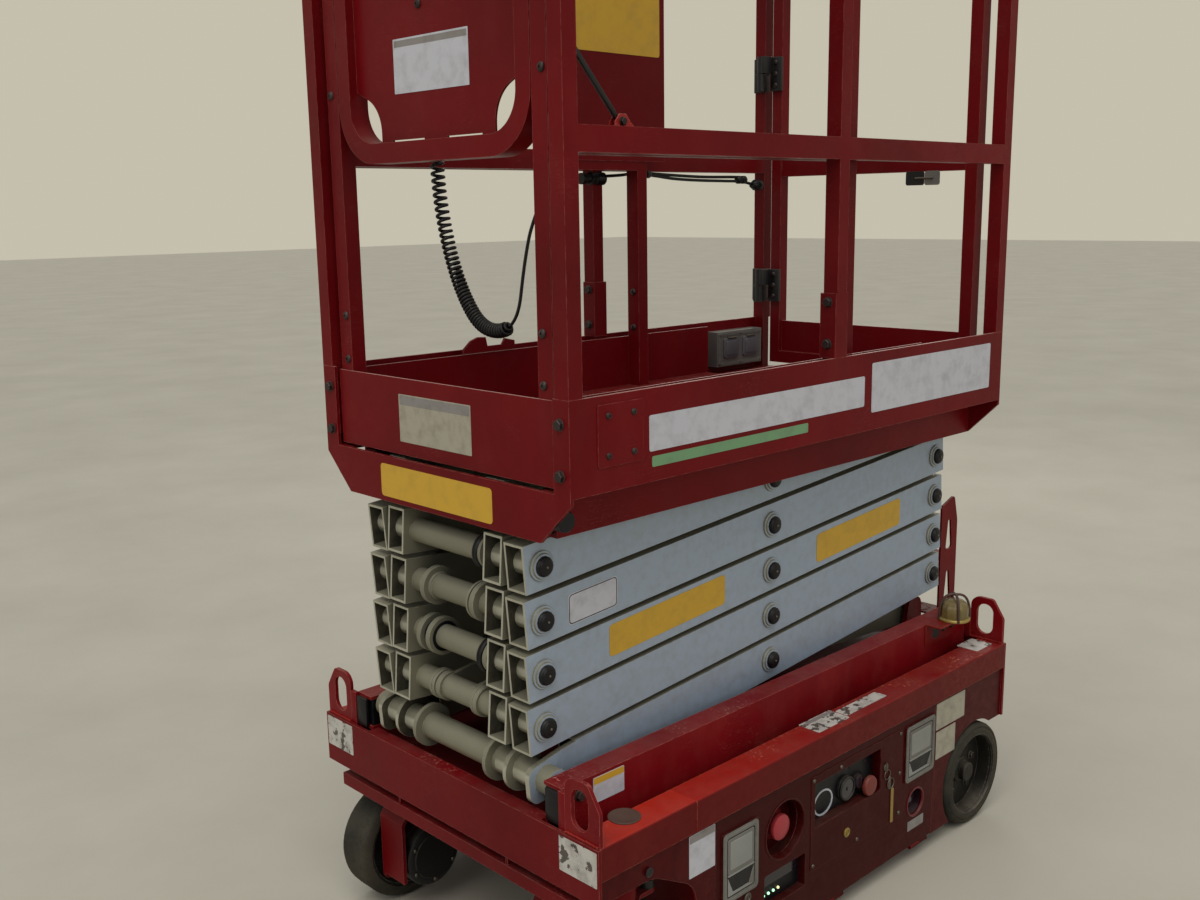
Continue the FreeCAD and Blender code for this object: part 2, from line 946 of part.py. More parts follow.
# Rings on the front cross tubes: level, place as a share of the half width, height over the tube.
tubeRings = (
    (1, -0.37, ringSmall),
    (1, 0.55, ringSmall),
    (2, -0.72, ringLarge),
    (2, -0.48, ringLarge),
    (2, 0.88, ringMedium),
    (3, -0.57, ringLarge),
    (3, 0.66, ringLarge),
    (4, 0.81, ringMedium),
)


def innerArms(level):
    half = armHeight / 2
    top = level == levels
    frontEnd = pinSpan + (topArmOverhang if top else armOverhang)
    arm = hollow(-armOverhang, frontEnd, innerArmIn, innerArmOut, -half, half, armWall, "x")
    bore = pinRadius + runningFit
    for along in (0, pinSpan / 2, pinSpan):
        arm = arm.fuse(barY(along, 0, innerArmIn, innerArmOut, sleeveRadius))
    shapes = [arm, mirrored(arm)]
    tubes = (0, pinSpan) if level == 1 else (0, pinSpan / 2, pinSpan)
    for along in tubes:
        shapes.append(barY(along, 0, -innerArmIn, innerArmIn, sleeveRadius))
    for ringLevel, share, height in tubeRings:
        if ringLevel == level:
            start = share * innerArmIn - ringWidth / 2
            shapes.append(barY(pinSpan, 0, start, start + ringWidth, sleeveRadius + height))
    if level == 1:
        along = pinSpan - cylinderLugBack
        above = cylinderLugAbove
        r = cylinderLugHalf
        lug = plateY(
            [
                (along - r, above - r, r - 4),
                (pinSpan - lugPlate, -sleeveRadius + 1),
                (pinSpan + lugPlate, sleeveRadius - 1),
                (along - r / 2, above + r, r - 4),
            ],
            lugInner,
            lugInner + lugPlate,
        )
        boss = barY(along, above, lugInner + lugPlate, lugInner + 2 * lugPlate, cylinderBoss)
        shapes += [lug, boss, mirrored(lug), mirrored(boss)]
    body = joined(*shapes)
    for side in (1, -1):
        for along in (0, pinSpan / 2, pinSpan):
            if not (top and along == pinSpan):
                body = body.cut(barY(along, 0, side * (innerArmIn - boreEnd), side * (innerArmOut + 1), bore))
    if top:
        for side in (1, -1):
            body = body.fuse(barY(pinSpan, 0, side * innerArmOut, side * (channelOut - 2 * plate), pinRadius))
        body = body.removeSplitter()
    keep("inner_arms_%d" % level, turned(body, "inner", level))


def slideBlocks():
    half = slideBlockLength / 2
    gap = slideGap
    low = box(
        frontPinX - half,
        frontPinX + half - slideSideGap,
        railInner + gap,
        railOuter - railFlange - gap,
        railSeat + gap,
        railTop - railFlange - gap,
    )
    pinEnd = railOuter - 2 * railFlange
    low = low.cut(barY(frontPinX, firstPinZ, railInner - 2, pinEnd + gap, slidePinRadius + runningFit))
    keep("lower_slide_blocks", *pair(low))
    high = box(
        frontPinX - half,
        frontPinX + half,
        channelInner + slideSideGap,
        channelOut - plate - gap,
        channelBottom + plate + gap,
        channelBottom + channelHeight - plate - gap,
    )
    pinEnd = channelOut - 2 * plate
    high = high.cut(barY(frontPinX, topPinZ, channelInner, pinEnd + gap, pinRadius + runningFit))
    keep("upper_slide_blocks", *pair(high))


def cylinder():
    x = rearPinX + barrelFromPin
    z = firstPinZ + barrelAbovePin
    eyeX, eyeZ = armPoint(pinSpan - cylinderLugBack, cylinderLugAbove)
    closed = math.hypot(eyeX - x, eyeZ - z)
    angle = math.degrees(math.atan2(eyeZ - z, eyeX - x))
    length = closed - barrelShort
    half = lugInner - 1
    pinHalf = lugInner + 2 * lugPlate - 2
    eye = barY(0, 0, -half, half, eyeRadius)
    pin = barY(0, 0, -pinHalf, pinHalf, pinRadius)
    body = barX(barrelCollar, length, 0, 0, barrelRadius)
    head = barX(length - barrelHead, length, 0, 0, barrelRadius + barrelCollar)
    heel = barX(eyeRadius, barrelHeel, 0, 0, barrelRadius + barrelCollar / 2)
    bore = barX(boreStart, length + 1, 0, 0, rodRadius + runningFit)
    barrel = joined(eye, pin, body, head, heel).cut(bore)
    rodBar = barX(rodStart, closed - eyeRadius + eyeOverlap, 0, 0, rodRadius)
    rodEye = barY(closed, 0, -half + 1, half - 1, eyeRadius)
    for name, shape in (("cylinder_barrel", barrel), ("cylinder_rod", joined(rodBar, rodEye))):
        shape.rotate(V(0, 0, 0), V(0, 1, 0), -angle)
        shape.translate(V(x, 0, z))
        keep(name, shape)
    print("cylinder closed", round(closed, 2), "angle", round(angle, 4))


def platform():
    out = platformOut
    rear = platformRear
    front = platformFront
    inner = out - skirtSheet
    floorFront = extensionFront - extensionSheet - extensionNoseGap
    shoulder = skirtBottom - endPlateShoulder
    shapes = [box(rear + plate, floorFront, -inner, inner, deckBottom, deckTop)]
    foot = [(-out, shoulder), (-channelOut, channelBottom), (channelOut, channelBottom), (out, shoulder)]
    shapes.append(plateX(foot + [(out, deckTop), (-out, deckTop)], rear, rear + plate))
    flange = out - cornerFlange
    sill = extensionFloor - extensionGap - extensionDrop - openingGap
    mouth = [(out, toeTop), (flange, toeTop), (flange, sill), (-flange, sill), (-flange, toeTop), (-out, toeTop)]
    shapes.append(plateX(foot + mouth, front - plate, front))
    for side in (1, -1):
        shapes.append(sided(rear, front - plate, inner, out, skirtBottom, toeTop, side))
        top = skirtBottom + skirtFlange
        shapes.append(sided(rear, front - plate, channelOut, inner, skirtBottom, top, side))
    keep("platform_deck", joined(*shapes))
    t = plate
    low = channelBottom
    high = channelBottom + channelHeight
    section = [
        (channelOut, low),
        (channelOut, deckBottom),
        (channelOut - t, deckBottom),
        (channelOut - t, high),
        (channelInner, high),
        (channelInner, high - t),
        (channelOut - t, high - t),
        (channelOut - t, low + t),
        (channelInner, low + t),
        (channelInner, low),
    ]
    channel = plateX(section, rear + plate, front - plate - channelFrontGap)
    closing = box(rear + plate, rearPinX + channelEndLength, channelInner, channelInner + channelEnd, low, high)
    channel = joined(channel, closing)
    channel = channel.cut(barY(rearPinX, topPinZ, channelInner - 1, channelOut - t, pinRadius + runningFit))
    keep("platform_channels", *pair(channel))


def guardrails():
    yIn = guardInner
    yOut = platformOut
    rear = platformRear
    front = platformFront
    half = railTube / 2
    shapes = []
    for z in (midRailZ, guardTop - half):
        shapes.append(hollow(rear + plate, front - 1, yIn, yOut, z - half, z + half, railWall, "x"))
    for x0 in (rear, midPostX - postDepth / 2, front - postDepth):
        x1 = x0 + postDepth
        shapes.append(hollow(x0, x1, yIn, yOut, toeTop, guardTop - railTube, railWall, "z"))
        shapes.append(box(max(x0, rear + plate), min(x1, front - plate), yIn, yOut - skirtSheet, deckTop, toeTop))
    reach = postDepth / 2 + sleeveExtra
    shapes.append(box(midPostX - reach, midPostX + reach, yIn - sleeveExtra, yOut, toeTop, toeTop + sleeveHeight))
    side = joined(*shapes)
    right = []
    post = rear + postDepth
    for height in (hingeLow, hingeHigh):
        z = deckTop + height
        leafIn = hingeY - hingeBarrel + 1
        right.append(box(post, post + hingeLeaf, leafIn - hingeLeafWidth, leafIn, z - hingeHalf, z + hingeHalf))
        right.append(box(post, hingeX + hingeArm - 2, leafIn - hingeArm, leafIn, z - hingeHalf, z - 1))
        right.append(barZ(hingeX, hingeY, z - hingeHalf, z - 1, hingeBarrel))
        right.append(barZ(hingeX, hingeY, z - hingeHalf, z + hingeHalf - 2, hingePin))
    keep("guardrails", side, joined(mirrored(side), *right))


def gate():
    x0 = platformRear + plate
    x1 = x0 + gateTube
    w = gateHalfWidth
    t = gateTube
    bottom = deckTop + gateLift
    outer = [
        (-w, bottom),
        (w, bottom),
        (w, guardTop - gateTopDrop, gateCorner),
        (-w, guardTop - gateTopDrop, gateCorner),
    ]
    inner = [
        (t - w, bottom + t),
        (w - t, bottom + t),
        (w - t, guardTop - gateTopDrop - t, gateCorner - t),
        (t - w, guardTop - gateTopDrop - t, gateCorner - t),
    ]
    frame = plateX(outer, x0, x1).cut(plateX(inner, x0 - 1, x1 + 1))
    middle = x0 + t / 2
    half = gateMidHeight / 2
    midZ = deckTop + gateMidRise
    deep = gateMidDepth / 2
    thin = gateSheet / 2
    shapes = [
        frame,
        box(middle - thin, middle + thin, t - w - 1, w - t + 1, bottom + plate, bottom + gateToe),
        box(middle - deep, middle + deep, t - w - 1, w - t + 1, midZ - half, midZ + half),
    ]
    bores = []
    for height in (hingeLow, hingeHigh):
        z = deckTop + height
        shapes.append(box(x1 - 1, x1 + hingeLeaf, -w, hingeLeafWidth - 10 - w, z - hingeHalf, z + hingeHalf))
        shapes.append(box(x1 - 1, hingeX + hingeArm - 2, -w - hingeArm, hingeArm - w, z + 1, z + hingeHalf))
        shapes.append(barZ(hingeX, hingeY, z + 1, z + hingeHalf, hingeBarrel))
        bores.append(barZ(hingeX, hingeY, z, z + hingeHalf + 1, hingePin + runningFit))
    keep("rear_gate", joined(*shapes).cut(bores))


def ladder():
    chassisRear = -frontX
    clear = chassisRear - ladderGap
    rear = ladderRear
    y0 = ladderHalfWidth - ladderSheet
    c = ladderRound
    side = plateY(
        [
            (rear, ladderBottom, c),
            (chassisRear, ladderBottom),
            (chassisRear, panTop),
            (clear, panTop + ladderGap),
            (clear, ladderTop - ladderGap, c),
            (rear + 2 * c, ladderTop, c),
            (rear, ladderTop - ladderCut, c),
        ],
        y0,
        ladderHalfWidth,
    )
    wide = ladderSlotWidth
    for step in range(2):
        z0 = ladderBottom + ladderSlotLow + step * ladderSlotPitch
        z1 = z0 + ladderSlotHeight
        x0 = rear + (ladderReach - ladderGap - wide) / 2
        slot = [(x0, z0, c), (x0 + wide, z0, c), (x0 + wide - c, z1, c - 2), (x0 + c, z1, c - 2)]
        side = side.cut(plateY(slot, y0 - 1, ladderHalfWidth + 1))
    shapes = [side, mirrored(side)]
    for step in range(3):
        z = ladderBottom + ladderStepLow + step * ladderStepPitch
        thick = ladderStepThick
        shapes.append(box(rear + plate, clear - thick, -y0, y0, z - thick, z))
        shapes.append(box(rear + plate, rear + plate + thick, -y0, y0, z - ladderStepNose, z))
    keep("ladder", joined(*shapes))


def beacon():
    x = beaconSetback - frontX
    y = railOuter + beaconOut
    z = railTop + beaconLift
    thick = panelSheet
    bracket = box(x - beaconPlate, x + beaconPlate, railOuter, y + beaconPlate - thick, z - thick, z)
    leg = box(x - beaconPlate / 3, x + beaconPlate / 3, railOuter, railOuter + thick, z - beaconLeg, z)
    bars = []
    half = beaconGuardHalf
    high = beaconGuardHeight
    for angle in (45, 135):
        route = [
            (-half, 0, -2),
            (-half, 0, high, beaconGuardBend),
            (half, 0, high, beaconGuardBend),
            (half, 0, -2),
        ]
        hoop = tube(route, beaconGuardRod)
        hoop.rotate(V(0, 0, 0), V(0, 0, 1), angle)
        hoop.translate(V(x, y, z))
        bars.append(hoop)
    foot = beaconHeight / 3
    base = barZ(x, y, z, z + foot, beaconBase)
    dome = Part.makeCone(beaconBase, beaconTip, beaconHeight - foot, V(x, y, z + foot))
    keep("beacon", joined(bracket, leg, *bars, base, dome))


def compartments():
    inner = compartmentIn + plate + panelSheet
    z0 = panelBottom + plate
    x0 = compartmentRear + batteryMargin
    x1 = compartmentFront - batteryMargin
    keep("battery_packs", *pair(box(x0, x1, inner, inner + batteryWidth, z0, z0 + batteryHeight)))


def doors():
    x0 = compartmentRear + panelSheet + doorGap
    x1 = compartmentFront - panelSheet - doorGap
    z0 = doorBottom
    z1 = chassisTop - coverLip - doorTopGap
    out = panelOut
    back = panelBack
    ribIn = back - doorRibDepth
    edge = doorRibInset
    ribs = [
        box(x0 + edge - panelSheet, x0 + edge, ribIn, back, z0 + edge, z1 - edge),
        box(x1 - edge, x1 - edge + panelSheet, ribIn, back, z0 + edge, z1 - edge),
        barY(hornX, hornZ, out - hornDepth - pocketWall, back, hornRadius + pocketWall),
    ]
    bores = []
    for x in (-doorHingeSpacing, 0, doorHingeSpacing):
        start = x - doorHingeLength
        ribs.append(box(start, x - 1, back, out, doorHingeZ, z0 + 1))
        ribs.append(barX(start, x - 1, doorHingeY, doorHingeZ, doorHingeRadius))
        bores.append(barX(start - 1, x, doorHingeY, doorHingeZ, doorHingePin + runningFit))
    ribs.append(box(latchFrontX0, latchFrontX1, out, out + latchThick, latchFrontZ0, latchFrontZ1))
    ribs.append(box(latchRearX0, latchRearX1, out, out + latchThick, latchRearZ0, latchRearZ1))
    right = joined(box(x0, x1, back, out, z0, z1), *ribs).cut(bores)
    right = right.cut(barY(hornX, hornZ, out - hornDepth, out + 1, hornRadius))
    pockets = (
        (stopX - stopPocket, stopX + stopPocket, stopZ - stopPocket, stopZ + stopPocket, stopPocket - 0.5, stopDepth),
        (displayX0, displayX1, displayZ0, displayZ1, pocketRound, displayDepth),
        (panelX0, panelX1, panelZ0, panelZ1, pocketRound, panelDepth),
    )
    left = right
    w = pocketWall
    for px0, px1, pz0, pz1, radius, depth in pockets:
        shell = [
            (px0 - w, pz0 - w, radius),
            (px1 + w, pz0 - w, radius),
            (px1 + w, pz1 + w, radius),
            (px0 - w, pz1 + w, radius),
        ]
        hole = [(px0, pz0, radius), (px1, pz0, radius), (px1, pz1, radius), (px0, pz1, radius)]
        left = left.fuse(plateY(shell, out - depth - w, back)).cut(plateY(hole, out - depth, out + 1))
    keep("side_door_left", left)
    keep("side_door_right", mirrored(right))
    deep = out - panelDepth
    face = deep + panelBoard
    low = panelZ0 + 1
    high = panelZ1 - 1
    corners = [(panelX0 + 1, low), (panelX1 - 1, low), (panelX1 - 1, high), (panelX0 + 1, high)]
    board = plateY([(x, z, pocketRound) for x, z in corners], deep, face)
    gauge = barY(gaugeX, knobZ, face - 1, face + panelBoard / 2, gaugeRadius)
    switch = barY(switchX, knobZ, face - 1, out - latchThick, switchRadius)
    key = barY(keyX, knobZ, face - 1, out, keyRadius)
    stem = barY(stopX, stopZ, out - stopDepth, out - stopHeadDepth + 1, stopStemRadius)
    head = barY(stopX, stopZ, out - stopHeadDepth, out, stopHeadRadius)
    keep("door_controls", joined(board, gauge, switch, key), joined(stem, head))


def extensionDeck():
    out = extensionOut
    front = extensionFront
    s = extensionSheet
    floor = extensionFloor
    top = deckTop + extensionToe
    bottom = deckTop - extensionDrop
    rear = extensionRear
    shapes = [
        box(rear, front - s, -out, out, floor, floor + s),
        box(front - s, front, -out, out, bottom, top),
    ]
    for side in (1, -1):
        shapes.append(sided(rear, front - s, out - s, out, floor, top, side))
        strip = out - slideStripWidth
        shapes.append(sided(rear, front - s, strip, out, deckTop + slideStripGap, floor, side))
    keep("extension_deck", joined(*shapes))


def extensionRails():
    inner = extensionPostIn
    out = extensionOut - extensionSheet
    floor = extensionFloor + extensionSheet
    front = extensionFront - extensionSheet
    half = railTube / 2
    rear = extensionPostX - postDepth / 2
    shapes = []
    for z in (midRailZ, guardTop - half - hoopSideGap):
        shapes.append(hollow(rear, front, inner, out, z - half, z + half, railWall, "x"))
    for x0 in (rear, front - postDepth):
        top = guardTop - railTube - hoopSideGap
        shapes.append(hollow(x0, x0 + postDepth, inner, out, floor, top, railWall, "z"))
    side = joined(*shapes)
    panelTop = guardTop - half - hoopSideGap
    panel = box(sidePanelRear, sidePanelFront, -inner, sidePanelThick - inner, midRailZ, panelTop)
    keep("extension_rails", side, joined(mirrored(side), panel))


def hoop():
    x0 = hoopBack
    x1 = hoopBack + hoopDepth
    w = hoopOut
    t = hoopTube
    ring = frameX(-w, w, hoopBottom, hoopTop, hoopCorner, t, x0, x1)
    middle = (x0 + x1) / 2
    low = hoopBottom + t
    high = hoopTop - hoopSheetTop
    edge = w - t + 1
    half = [
        (hoopHoleFoot, low - 1),
        (hoopHoleFoot, low + hoopHoleKnee, hoopHoleRound),
        (edge, low + hoopHoleTop),
        (edge, high),
    ]
    sheet = plateX(half + [(-y, *rest) for y, *rest in reversed(half)], middle - hoopSheet / 2, middle + hoopSheet / 2)
    for side in (1, -1):
        end = hoopSlotStart + hoopSlotLength
        sheet = sheet.cut(sided(x0, x1, hoopSlotStart, end, low, low + hoopSlotHeight, side))
    tabs = []
    for z in (hoopBottom + hoopTabRise, hoopTop - hoopTabRise):
        for side in (1, -1):
            tabs.append(sided(middle - 3, middle + 3, w - 3, extensionPostIn, z - hoopTabHalf, z + hoopTabHalf, side))
    keep("front_hoop", joined(ring, sheet, *tabs))


def controls():
    back = hoopBack + (hoopDepth - hoopSheet) / 2
    front = back - controlDepth
    z0 = guardTop - controlBottomDrop
    z1 = guardTop - controlTopDrop
    slope = controlSlope
    c = controlRound
    case = plateY(
        [(back, z0, c), (back, z1, c), (front + slope, z1, c), (front, z1 - slope, c), (front, z0, c)],
        controlY0,
        controlY1,
    )
    x = back - stickBack
    y = (controlY0 + controlY1) / 2
    stick = barZ(x, y, z1 - slope, z1 + stickLength / 2, stickRadius)
    grip = Part.makeCone(stickRadius + 2, gripRadius, gripLength, V(x, y, z1 + stickLength / 3))
    keep("control_box", joined(case, stick, grip))


# The cord's route in the plane cordX: across, and above the deck.
cordPoints = (
    (-75, 759),
    (-66, 472),
    (-50, 362),
    (-12, 264),
    (45, 198),
    (130, 208),
    (152, 316),
    (176, 385),
    (249.5, 488),
)


def cord():
    radii = []
    route = []
    count = len(cordPoints)
    for i in range(count):
        y, z = cordPoints[i]
        if i == 0 or i == count - 1:
            route.append((cordX, y, deckTop + z))
            continue
        back = V(cordPoints[i - 1][0] - y, cordPoints[i - 1][1] - z, 0)
        ahead = V(cordPoints[i + 1][0] - y, cordPoints[i + 1][1] - z, 0)
        turn = math.pi - back.getAngle(ahead)
        bend = 0.45 * min(back.Length, ahead.Length) / math.tan(turn / 2)
        radii.append(round(bend, 1))
        route.append((cordX, y, deckTop + z, bend))
    keep("curly_cord", tube(route, cordRadius))
    print("cord bend radii", radii)


def socketBox():
    out = platformOut - skirtSheet
    keep("outlet_box", box(socketX0, socketX1, -out, socketDepth - out, deckTop + socketLow, deckTop + socketHigh))


chassis()
covers()
slideRails()
lugs()
pivotBrackets()
rearAxles()
wheels()
knuckles()
tieRod()
for level in range(1, levels + 1):
    outerArms(level)
    innerArms(level)
slideBlocks()
cylinder()
platform()
guardrails()
gate()
ladder()
beacon()
compartments()
doors()
extensionDeck()
extensionRails()
hoop()
controls()
cord()
socketBox()

os.makedirs("parts", exist_ok=True)
for name, solids in pieces.items():
    placed = [solid.translated(toOrigin) for solid in solids]
    shape = placed[0] if len(placed) == 1 else Part.makeCompound(placed)
    shape.exportStep("parts/%s.step" % name)
    print(name, len(shape.Solids), shape.isValid(), round(shape.Volume / 1000))
print("pieces", len(pieces), "stowed angle", round(stowedAngle, 4), "front pin", round(frontPinX, 2))
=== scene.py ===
import math
import random

import bmesh
import bpy
from mathutils import Matrix, Vector


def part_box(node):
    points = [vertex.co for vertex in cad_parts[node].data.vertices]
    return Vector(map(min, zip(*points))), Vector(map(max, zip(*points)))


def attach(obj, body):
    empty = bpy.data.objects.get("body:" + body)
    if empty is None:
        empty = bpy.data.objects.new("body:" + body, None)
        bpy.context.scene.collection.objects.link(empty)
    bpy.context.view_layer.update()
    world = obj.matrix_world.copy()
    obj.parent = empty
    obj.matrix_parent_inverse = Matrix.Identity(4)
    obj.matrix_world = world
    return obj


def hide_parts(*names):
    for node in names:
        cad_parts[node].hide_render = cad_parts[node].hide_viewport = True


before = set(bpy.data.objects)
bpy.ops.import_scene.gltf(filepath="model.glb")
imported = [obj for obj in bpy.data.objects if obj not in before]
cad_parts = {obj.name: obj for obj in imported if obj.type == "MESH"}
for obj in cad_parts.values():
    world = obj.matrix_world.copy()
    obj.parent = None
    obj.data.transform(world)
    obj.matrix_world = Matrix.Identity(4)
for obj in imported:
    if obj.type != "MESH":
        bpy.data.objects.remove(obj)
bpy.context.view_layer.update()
print("frame loaded", len(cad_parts), "nodes")

# Places on the machine are in millimetres: forward of the chassis middle, to its left, and up.
chassisLow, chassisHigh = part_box("chassis_frame")
middleX = (chassisLow.x + chassisHigh.x) / 2


def at(forward, left, up):
    return Vector((middleX + forward / 1000, left / 1000, up / 1000))


# Finishes

def colour(red, green, blue):
    # a colour as it looks, 0 to 255, as light values
    return tuple((v / 255) ** 2.2 for v in (red, green, blue)) + (1.0,)


def linked(name, data):
    thing = bpy.data.objects.new(name, data)
    bpy.context.scene.collection.objects.link(thing)
    return thing


def addNode(tree, kind, inputs=None, **settings):
    node = tree.nodes.new(kind)
    for key, value in settings.items():
        setattr(node, key, value)
    for key, value in (inputs or {}).items():
        if isinstance(value, bpy.types.NodeSocket):
            tree.links.new(value, node.inputs[key])
        else:
            node.inputs[key].default_value = value
    return node


def noise(tree, place, scale, detail=3.0, stretch=None):
    if stretch:
        place = addNode(tree, "ShaderNodeMapping", {"Vector": place, "Scale": stretch}).outputs[0]
    inputs = {"Vector": place, "Scale": scale, "Detail": detail, "Roughness": 0.6}
    return addNode(tree, "ShaderNodeTexNoise", inputs).outputs["Fac"]


def spread(tree, value, low, high, start=0.0, end=1.0):
    inputs = {"Value": value, "From Min": low, "From Max": high, "To Min": start, "To Max": end}
    return addNode(tree, "ShaderNodeMapRange", inputs, clamp=True).outputs[0]


def calculate(tree, operation, first, second=0.0):
    return addNode(tree, "ShaderNodeMath", {0: first, 1: second}, operation=operation).outputs[0]


def mix(tree, share, first, second):
    node = addNode(tree, "ShaderNodeMix", {0: share, 6: first, 7: second}, data_type="RGBA")
    return node.outputs[2]


def edgeShare(tree, width):
    # near 1 on edges, 0 on flat faces
    rounded = addNode(tree, "ShaderNodeBevel", {"Radius": width}, samples=6).outputs[0]
    plain = addNode(tree, "ShaderNodeNewGeometry").outputs["Normal"]
    dot = addNode(tree, "ShaderNodeVectorMath", {0: rounded, 1: plain}, operation="DOT_PRODUCT")
    return spread(tree, dot.outputs["Value"], 0.985, 0.86)


def facing(tree, part):
    normal = addNode(tree, "ShaderNodeNewGeometry").outputs["Normal"]
    return addNode(tree, "ShaderNodeSeparateXYZ", {0: normal}).outputs[part]


def newFinish(name):
    material = bpy.data.materials.new(name)
    material.use_nodes = True
    tree = material.node_tree
    tree.nodes.clear()
    return material, tree, addNode(tree, "ShaderNodeTexCoord").outputs["Object"]


def finished(tree, shader):
    addNode(tree, "ShaderNodeOutputMaterial", {"Surface": shader.outputs[0]})


plainLook = {
    "second": None, "worn": (150, 120, 112), "dust": (150, 138, 120), "chip": (70, 60, 50),
    "metal": 0.0, "rough": (0.3, 0.5), "shine": 0.4, "coat": 0.0, "coatRough": 0.15,
    "edge": 0.0015, "wear": 0.6, "scratch": 0.3, "dusty": 0.3, "speckle": 0.0, "smudge": 0.0, "chips": 0.0,
    "broad": 4.0, "fine": 60.0, "bump": 0.15, "bumpScale": 400.0,
    # (axis, from, to, soft start, way the face looks, tone, share): places where another tone takes over, as
    # painted light or painted shade, and on the toe boards partly rubbed paint
    "zones": (),
}


def wornFinish(name, main, **changes):
    look = dict(plainLook, **changes)
    material, tree, place = newFinish(name)
    broad = noise(tree, place, look["broad"], 4.0)
    fine = noise(tree, place, look["fine"], 6.0)
    base = mix(tree, spread(tree, broad, 0.35, 0.65), colour(*main), colour(*(look["second"] or main)))
    # painted light and shade: each zone lays a lit or shaded tone on the faces in a band that look along one axis
    for axis, low, high, soft, way, tone, share in look["zones"]:
        value = addNode(tree, "ShaderNodeSeparateXYZ", {0: place}).outputs[axis]
        if axis == "Y":
            value = calculate(tree, "ABSOLUTE", value)
        inside = calculate(tree, "MULTIPLY", spread(tree, value, low, low + soft),
                           spread(tree, value, high, high - 0.0003))
        looks = calculate(tree, "ABSOLUTE", facing(tree, way))
        inside = calculate(tree, "MULTIPLY", inside, spread(tree, looks, 0.9, 0.97))
        uneven = spread(tree, fine, 0.3, 0.6, share * 0.75, share)
        base = mix(tree, calculate(tree, "MULTIPLY", inside, uneven), base, colour(*tone))
    if look["smudge"]:
        smudges = spread(tree, noise(tree, place, 11.0, 6.0, (1.0, 1.0, 0.5)), 0.5, 0.8, 0.0, look["smudge"])
        base = mix(tree, smudges, base, colour(*look["worn"]))
    # rubbed edges, in patches
    edges = edgeShare(tree, look["edge"])
    rubbed = calculate(tree, "MULTIPLY", edges, spread(tree, fine, 0.34, 0.6))
    rubbed = calculate(tree, "MULTIPLY", rubbed, look["wear"])
    # thin scratches, where a broad noise lets them be
    lines = noise(tree, place, 30.0, 2.0, (1.0, 1.0, 9.0))
    lines = calculate(tree, "ABSOLUTE", calculate(tree, "SUBTRACT", lines, 0.5))
    lines = spread(tree, lines, 0.006, 0.001)
    patches = spread(tree, noise(tree, place, 9.0, 2.0), 0.5, 0.7)
    lines = calculate(tree, "MULTIPLY", calculate(tree, "MULTIPLY", lines, patches), look["scratch"])
    worn = calculate(tree, "MAXIMUM", rubbed, lines)
    upward = spread(tree, facing(tree, "Z"), 0.5, 0.9)
    if look["speckle"]:
        spots = spread(tree, noise(tree, place, 150.0, 5.0), 0.58, 0.66)
        spots = calculate(tree, "MULTIPLY", calculate(tree, "MULTIPLY", spots, patches), upward)
        worn = calculate(tree, "MAXIMUM", worn, calculate(tree, "MULTIPLY", spots, look["speckle"]))
    base = mix(tree, worn, base, colour(*look["worn"]))
    if look["chips"]:
        chips = calculate(tree, "MULTIPLY", edges, spread(tree, noise(tree, place, 75.0, 3.0), 0.6, 0.64))
        base = mix(tree, calculate(tree, "MULTIPLY", chips, look["chips"]), base, colour(*look["chip"]))
    dust = spread(tree, noise(tree, place, 12.0, 5.0), 0.35, 0.75)
    dust = calculate(tree, "MULTIPLY", dust, calculate(tree, "MULTIPLY", upward, look["dusty"]))
    base = mix(tree, dust, base, colour(*look["dust"]))
    rough = spread(tree, fine, 0.3, 0.7, *look["rough"])
    rough = calculate(tree, "ADD", rough, calculate(tree, "MULTIPLY", dust, 0.4))
    bump = addNode(tree, "ShaderNodeBump", {
        "Height": noise(tree, place, look["bumpScale"], 3.0), "Strength": look["bump"], "Distance": 0.0004,
    })
    shader = addNode(tree, "ShaderNodeBsdfPrincipled", {
        "Base Color": base, "Roughness": rough, "Metallic": look["metal"], "Normal": bump.outputs[0],
        "Specular IOR Level": look["shine"], "Coat Weight": look["coat"], "Coat Roughness": look["coatRough"],
    })
    finished(tree, shader)
    return material


def tyreFinish():
    material, tree, place = newFinish("tyre rubber")
    stains = spread(tree, noise(tree, place, 9.0, 6.0), 0.35, 0.7)
    grains = noise(tree, place, 170.0, 5.0)
    base = mix(tree, stains, colour(42, 41, 37), colour(72, 67, 56))
    base = mix(tree, spread(tree, grains, 0.56, 0.7, 0.0, 0.5), base, colour(44, 40, 36))
    bump = addNode(tree, "ShaderNodeBump", {"Height": grains, "Strength": 0.5, "Distance": 0.0006})
    shader = addNode(tree, "ShaderNodeBsdfPrincipled", {
        "Base Color": base, "Roughness": spread(tree, grains, 0.3, 0.7, 0.75, 0.95),
        "Normal": bump.outputs[0], "Specular IOR Level": 0.2,
    })
    finished(tree, shader)
    return material


def labelFinish(name, main, dirt=(92, 84, 74), dirty=0.5, torn=0.0):
    # a blank sticker, with grime and, where it is old, torn patches
    material, tree, place = newFinish(name)
    grime = spread(tree, noise(tree, place, 35.0, 6.0), 0.45, 0.8)
    grime = calculate(tree, "MULTIPLY", grime, dirty)
    base = mix(tree, grime, colour(*main), colour(*dirt))
    if torn:
        gaps = spread(tree, noise(tree, place, 48.0, 5.0), 0.56, 0.58)
        base = mix(tree, calculate(tree, "MULTIPLY", gaps, torn), base, colour(58, 46, 42))
    bump = addNode(tree, "ShaderNodeBump", {
        "Height": noise(tree, place, 260.0, 3.0), "Strength": 0.12, "Distance": 0.0003,
    })
    shader = addNode(tree, "ShaderNodeBsdfPrincipled", {
        "Base Color": base, "Roughness": spread(tree, grime, 0.0, 0.5, 0.38, 0.7), "Normal": bump.outputs[0],
    })
    finished(tree, shader)
    return material


